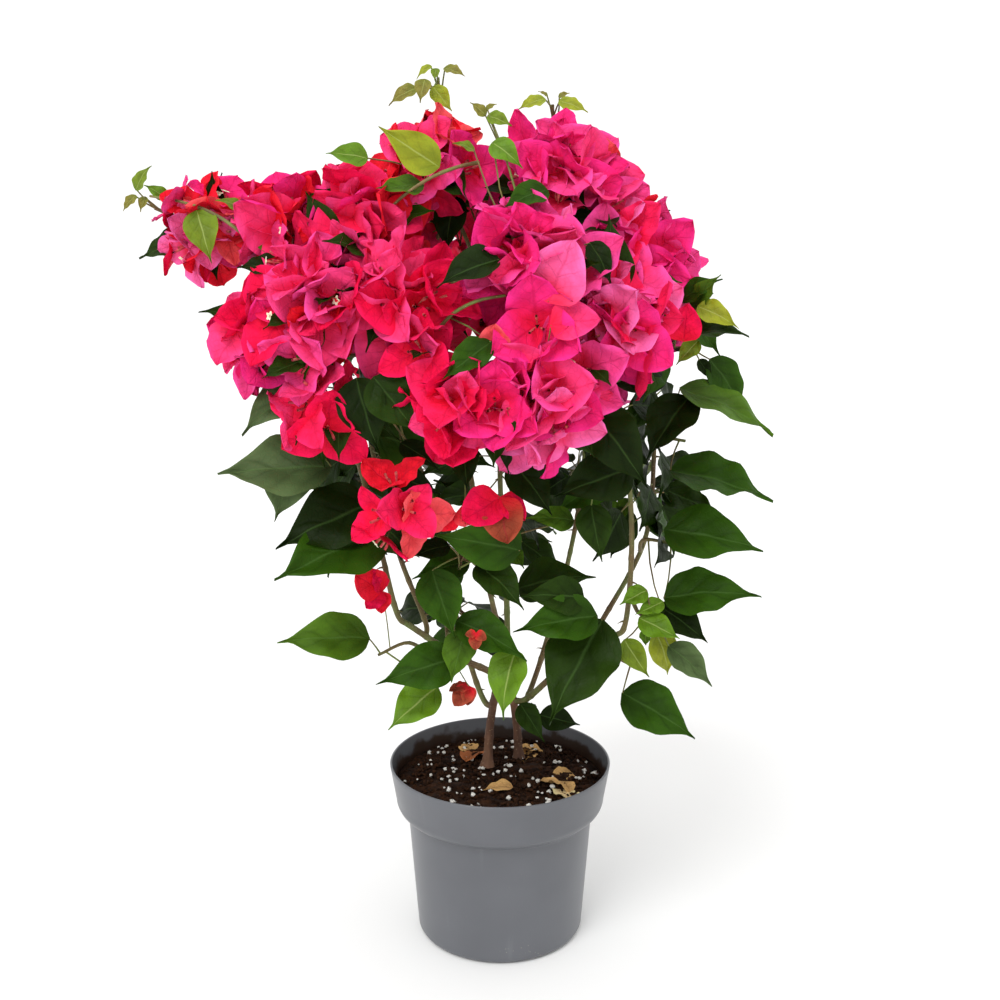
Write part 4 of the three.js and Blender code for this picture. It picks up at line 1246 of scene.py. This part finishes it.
def vein_masks(look, aside, along, count, width):
    """1 on the midrib and 0 beside it, and the same for the side veins, which climb to the edge."""
    climb = look.times(look.calc("POWER", aside, VEIN_BEND), VEIN_CLIMB)
    phase = look.calc("SUBTRACT", look.times(along, float(count)), climb)
    from_vein = look.calc("ABSOLUTE", look.calc("SUBTRACT", look.calc("FRACT", phase), 0.5))
    faint = look.times(aside, -0.8, 1.0)
    return look.smooth(aside, 0.08, 0.0), look.times(look.smooth(from_vein, 0.5 - width, 0.5), faint)


@dataclass(frozen=True)
class Marks:
    """What a blade is marked with. Each `share` says how strongly a mark shows."""

    veins: int  # on each side
    width: float  # of a side vein, as a share of the way to the next
    dark_vein_and_groove_shade: float  # how much darker the side veins are: partly their own darker colour, partly painted shade in their grooves
    rib: str  # the midrib's colour
    rib_share: float
    foot: str  # the colour near its stalk
    foot_share: float
    foot_reach: float  # as a share of its length
    edge: float  # how much paler its edge is
    net: tuple  # meshes of the fine net of veins, across it and along it
    net_share: float
    waver: float  # how far the marks wander
    relief: float
    roughness: float
    specular: float


# On leaves the darker side veins and the dark foot near the stalk are partly painted shade.
LEAF_MARKS = Marks(veins=4, width=0.2, dark_vein_and_groove_shade=0.5, rib="#5C8040", rib_share=0.22, foot="#1A2A08",
                   foot_share=0.45, foot_reach=0.6, edge=0.35, net=(9, 15, 1), net_share=0.1, waver=0.05,
                   relief=0.45, roughness=0.44, specular=0.065)
FRESH_MARKS = replace(LEAF_MARKS, width=0.16, dark_vein_and_groove_shade=0.25, rib="#C6D480", rib_share=0.35, foot="#5F7F1E",
                      foot_share=0.3, foot_reach=0.5, edge=0.25, net_share=0.14, relief=0.4,
                      roughness=0.42, specular=0.18)
BRACT_MARKS = Marks(veins=5, width=0.09, dark_vein_and_groove_shade=0.24, rib="#B00E3C", rib_share=0.3, foot="#EA1530",
                    foot_share=0.8, foot_reach=0.6, edge=0.45, net=(8, 11, 1), net_share=0.18, waver=0.09,
                    relief=0.6, roughness=0.62, specular=0.06)
FALLEN_MARKS = replace(BRACT_MARKS, width=0.14, dark_vein_and_groove_shade=0.4, rib="#6B4A2C", rib_share=0.6, foot="#6B4A2C",
                       foot_share=0.3, foot_reach=0.3, edge=0.3, net_share=0.5, roughness=0.85,
                       specular=0.12)


def blade_look(name, hexed, marks):
    """A papery bract or a leaf: veins, the fine net between them, a tinted foot and a paler edge."""
    look = Look(name)
    look.set("Specular IOR Level", marks.specular)
    look.set("Roughness", marks.roughness)
    local, aside, along = blade_place(look, marks.waver)
    midrib, side = vein_masks(look, aside, along, marks.veins, marks.width)
    net_cells = look.cells(1.0, "DISTANCE_TO_EDGE", look.vector("MULTIPLY", local, marks.net))
    net = look.smooth(net_cells, 0.1, 0.0)
    cloud = look.noise(3.0, 3.0, local)
    foot = look.smooth(look.times(cloud, 0.3, along), marks.foot_reach + 0.15, 0.15)
    painted = look.mix(look.smooth(cloud, 0.3, 0.75), colour(hexed, 0.8), colour(hexed, 1.15))
    # The darkening of the side veins is partly painted shade in their grooves, and so is a leaf's dark foot.
    for mask, share, paint in (
            (net, marks.net_share, colour(hexed, 0.6)),
            (look.smooth(aside, 0.35, 1.0), marks.edge, colour(hexed, 1.9)),
            (foot, marks.foot_share, colour(marks.foot)),
            (side, marks.dark_vein_and_groove_shade, colour(hexed, 0.5)),
            (midrib, marks.rib_share, colour(marks.rib))):
        painted = look.mix(look.times(mask, share), painted, paint)
    fine = look.noise(14.0, 3.0, local)
    dips = look.times(look.calc("MAXIMUM", midrib, side), -0.8, look.times(net, -0.25))
    relief = look.times(fine, 0.4, look.times(look.noise(6.0, 2.0, local), 1.2, dips))
    roughness = look.times(fine, 0.2, marks.roughness - 0.1)
    return look.finish(colour(hexed), painted, roughness, relief, marks.relief, 0.0008)


def blade_looks(tones, marks, fresh_marks=None):
    """A look for each tone of a blade; the tones of young leaves have marks of their own."""
    return [blade_look(name, hexed, fresh_marks if fresh_marks and name in FRESH_MIX else marks)
            for name, hexed in tones.items()]


def cane_look(name, young, old, cracks):
    """Bark from green canes to brown wood: streaks along the limb, dots and fine cracks."""
    look = Look(name)
    streak = look.noise(90.0, 5.0, stretch=(1, 1, 0.25))
    dots = look.dots(420.0, 0.22, 0.1)
    mixed = look.mix(look.smooth(look.noise(35.0, 3.0), 0.35, 0.65), colour(young), colour(old))
    streaked = look.mix(look.smooth(streak, 0.35, 0.7), mixed, colour(old, 0.55))
    dotted = look.mix(look.times(dots, 0.5), streaked, colour("#B79C78"))
    roughness, relief = look.times(streak, 0.3, 0.55), look.times(dots, 0.3, streak)
    return look.finish(colour(old), dotted, roughness, relief, cracks, 0.0008)


def dark_collar_patches(look):
    """1 in dark brown patches on the inside of the pot's collar, more of them lower down, towards the potting
    mix.
    """
    x, y, z = look.parts(look.where())
    aside = look.calc("SQRT", look.times(x, x, look.times(y, y)))
    wall_middle = (POT.rim - POT.wall / 2 - COLLAR_SLOPE * POT.height) * MM
    from_wall = look.calc("SUBTRACT", look.times(z, -COLLAR_SLOPE, aside), wall_middle)
    collar_foot = (POT.collar_foot_height + 1) * MM
    above_foot = look.smooth(z, collar_foot, collar_foot + 2 * MM)
    inside = look.times(look.smooth(from_wall, 0.3 * MM, -0.3 * MM), above_foot)
    near_mix = look.smooth(z, POT.height * MM, (MIX.height - 1) * MM)
    patch_cover = look.times(near_mix, 0.5, look.noise(70.0, 6.0))
    return look.times(inside, look.smooth(patch_cover, 0.62, 0.86))


def plastic_look():
    """Satin injection-moulded plastic with a fine grain, faint scuffs and soil specks at its foot."""
    look = Look("satin_slate_plastic")
    grey = "#5B5D62"
    cloud = look.noise(14.0, 4.0)
    scuffs = look.smooth(look.noise(60.0, 6.0, stretch=(1, 1, 0.12)), 0.62, 0.8)
    height = look.parts(look.where())[2]
    low = look.smooth(height, 0.045, 0.0)
    chance = look.smooth(look.noise(45.0, 2.0), 0.52, 0.7)
    dirt = look.times(look.dots(330.0, 0.2, 0.08), look.times(chance, look.times(low, 0.6, 0.12)))
    mixed = look.mix(look.smooth(cloud, 0.3, 0.7), colour(grey, 0.94), colour(grey, 1.07))
    scuffed = look.mix(look.times(scuffs, 0.25), mixed, colour("#85888C"))
    dusted = look.mix(dirt, scuffed, colour("#8E8A80"))
    # Dark brown patches inside the collar, more of them lower down towards the potting mix.
    patched = look.mix(dark_collar_patches(look), dusted, colour("#2A190E"))
    roughness = look.times(scuffs, 0.15, look.times(cloud, 0.08, 0.3))
    relief = look.times(dirt, 0.6, look.noise(900.0, 2.0))
    return look.finish(colour(grey), patched, roughness, relief, 0.12, 0.0004)


def earth_look(name, dark, pale, scale, roughness=0.95):
    """Moist peat, or a clod or grain of it: dark and pale flecks with a crumbly relief."""
    look = Look(name)
    look.set("Specular IOR Level", 0.15)
    cloud = look.noise(scale, 6.0)
    flecks = look.dots(scale * 4, 0.35, 0.15)
    mixed = look.mix(look.smooth(cloud, 0.35, 0.7), colour(dark), colour(pale))
    flecked = look.mix(look.times(flecks, 0.4), mixed, colour(pale, 1.3))
    return look.finish(colour(dark), flecked, roughness, look.times(flecks, 0.4, cloud), 0.8, 0.0015)


# ---------- Stage ----------

def build_stage():
    """A plain pale floor, soft studio light and the camera."""
    scene = bpy.context.scene
    look = Look("pale_floor")
    plain = colour(FLOOR.colour)
    look.paint(plain, look.mix(look.noise(3.0, 3.0), colour(FLOOR.colour, 0.98), plain), 0.9)
    pile = Pile()
    pile.add(turned([(HUB, -FLOOR.below), (FLOOR.radius, -FLOOR.below)], FLOOR.sides), wrap=True)
    pile.made("floor", [look.material])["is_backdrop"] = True

    scene.world = bpy.data.worlds.new("studio")
    scene.world.use_nodes = True
    background = scene.world.node_tree.nodes["Background"]
    background.inputs["Color"].default_value = (1, 1, 1, 1)
    background.inputs["Strength"].default_value = SKY_STRENGTH

    light = bpy.data.lights.new("sun", "SUN")
    light.energy = SUN_LAMP.strength
    light.angle = math.radians(SUN_LAMP.spread)
    linked("sun", light, angles=(SUN_LAMP.tilt, 0, SUN_LAMP.turn))

    camera = bpy.data.cameras.new("camera")
    camera.lens = CAMERA.lens
    camera.sensor_width = CAMERA.sensor
    scene.camera = linked("camera", camera, CAMERA.place, (90 - CAMERA.down, 0, 0))
    scene.view_settings.view_transform = "Standard"


# ---------- Assembly ----------

def build_plant():
    piles = grow_plant()
    leafy = [mass for mass in MASSES if not mass.flowers]
    nodes = {
        "woody_stems": list(STEMS),
        "canes": [bough.name for bough in BOUGHS],
        "leaves": [mass.name for mass in leafy if not mass.fresh],
        "young_leaves": [mass.name for mass in leafy if mass.fresh],
    }
    for mass in MASSES:
        if mass.flowers:
            nodes.setdefault(bract_piece(mass.at), []).append(mass.name)
    leaf_looks = blade_looks(LEAF_TONES, LEAF_MARKS, FRESH_MARKS)
    bract_looks = blade_looks(BRACT_TONES, BRACT_MARKS)
    tube = earth_look("flower_tube", "#C23A5A", "#E08A7A", 300.0, 0.6)
    star = earth_look("flower_star", "#F4EFC8", "#FFFBE6", 300.0, 0.6)
    dress = {
        "woody_stems": ("bark", [cane_look("woody_bark", "#8A6248", "#6A4632", 0.7)]),
        "canes": ("green_bark", [cane_look("green_bark", "#6C7A3E", "#7B6240", 0.45)]),
        "twigs": ("green_bark", [cane_look("young_twig", "#6F8A3C", "#7E6A3E", 0.3)]),
        "leaves": ("leaves", leaf_looks),
        "young_leaves": ("young_leaves", leaf_looks),
        "bracts_left": ("bracts", bract_looks),
        "bracts_right": ("bracts", bract_looks),
        "bracts_rear": ("bracts", bract_looks),
        "true_flowers": ("bracts", [tube, star]),
    }
    for piece, (slot, looks) in dress.items():
        piles[piece].build(piece, looks, slot, nodes.get(piece, ()))


build_plant()
build_pot()
build_stage()
[[list(map(float, corner)) for corner in box] for box in (cad_box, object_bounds())]
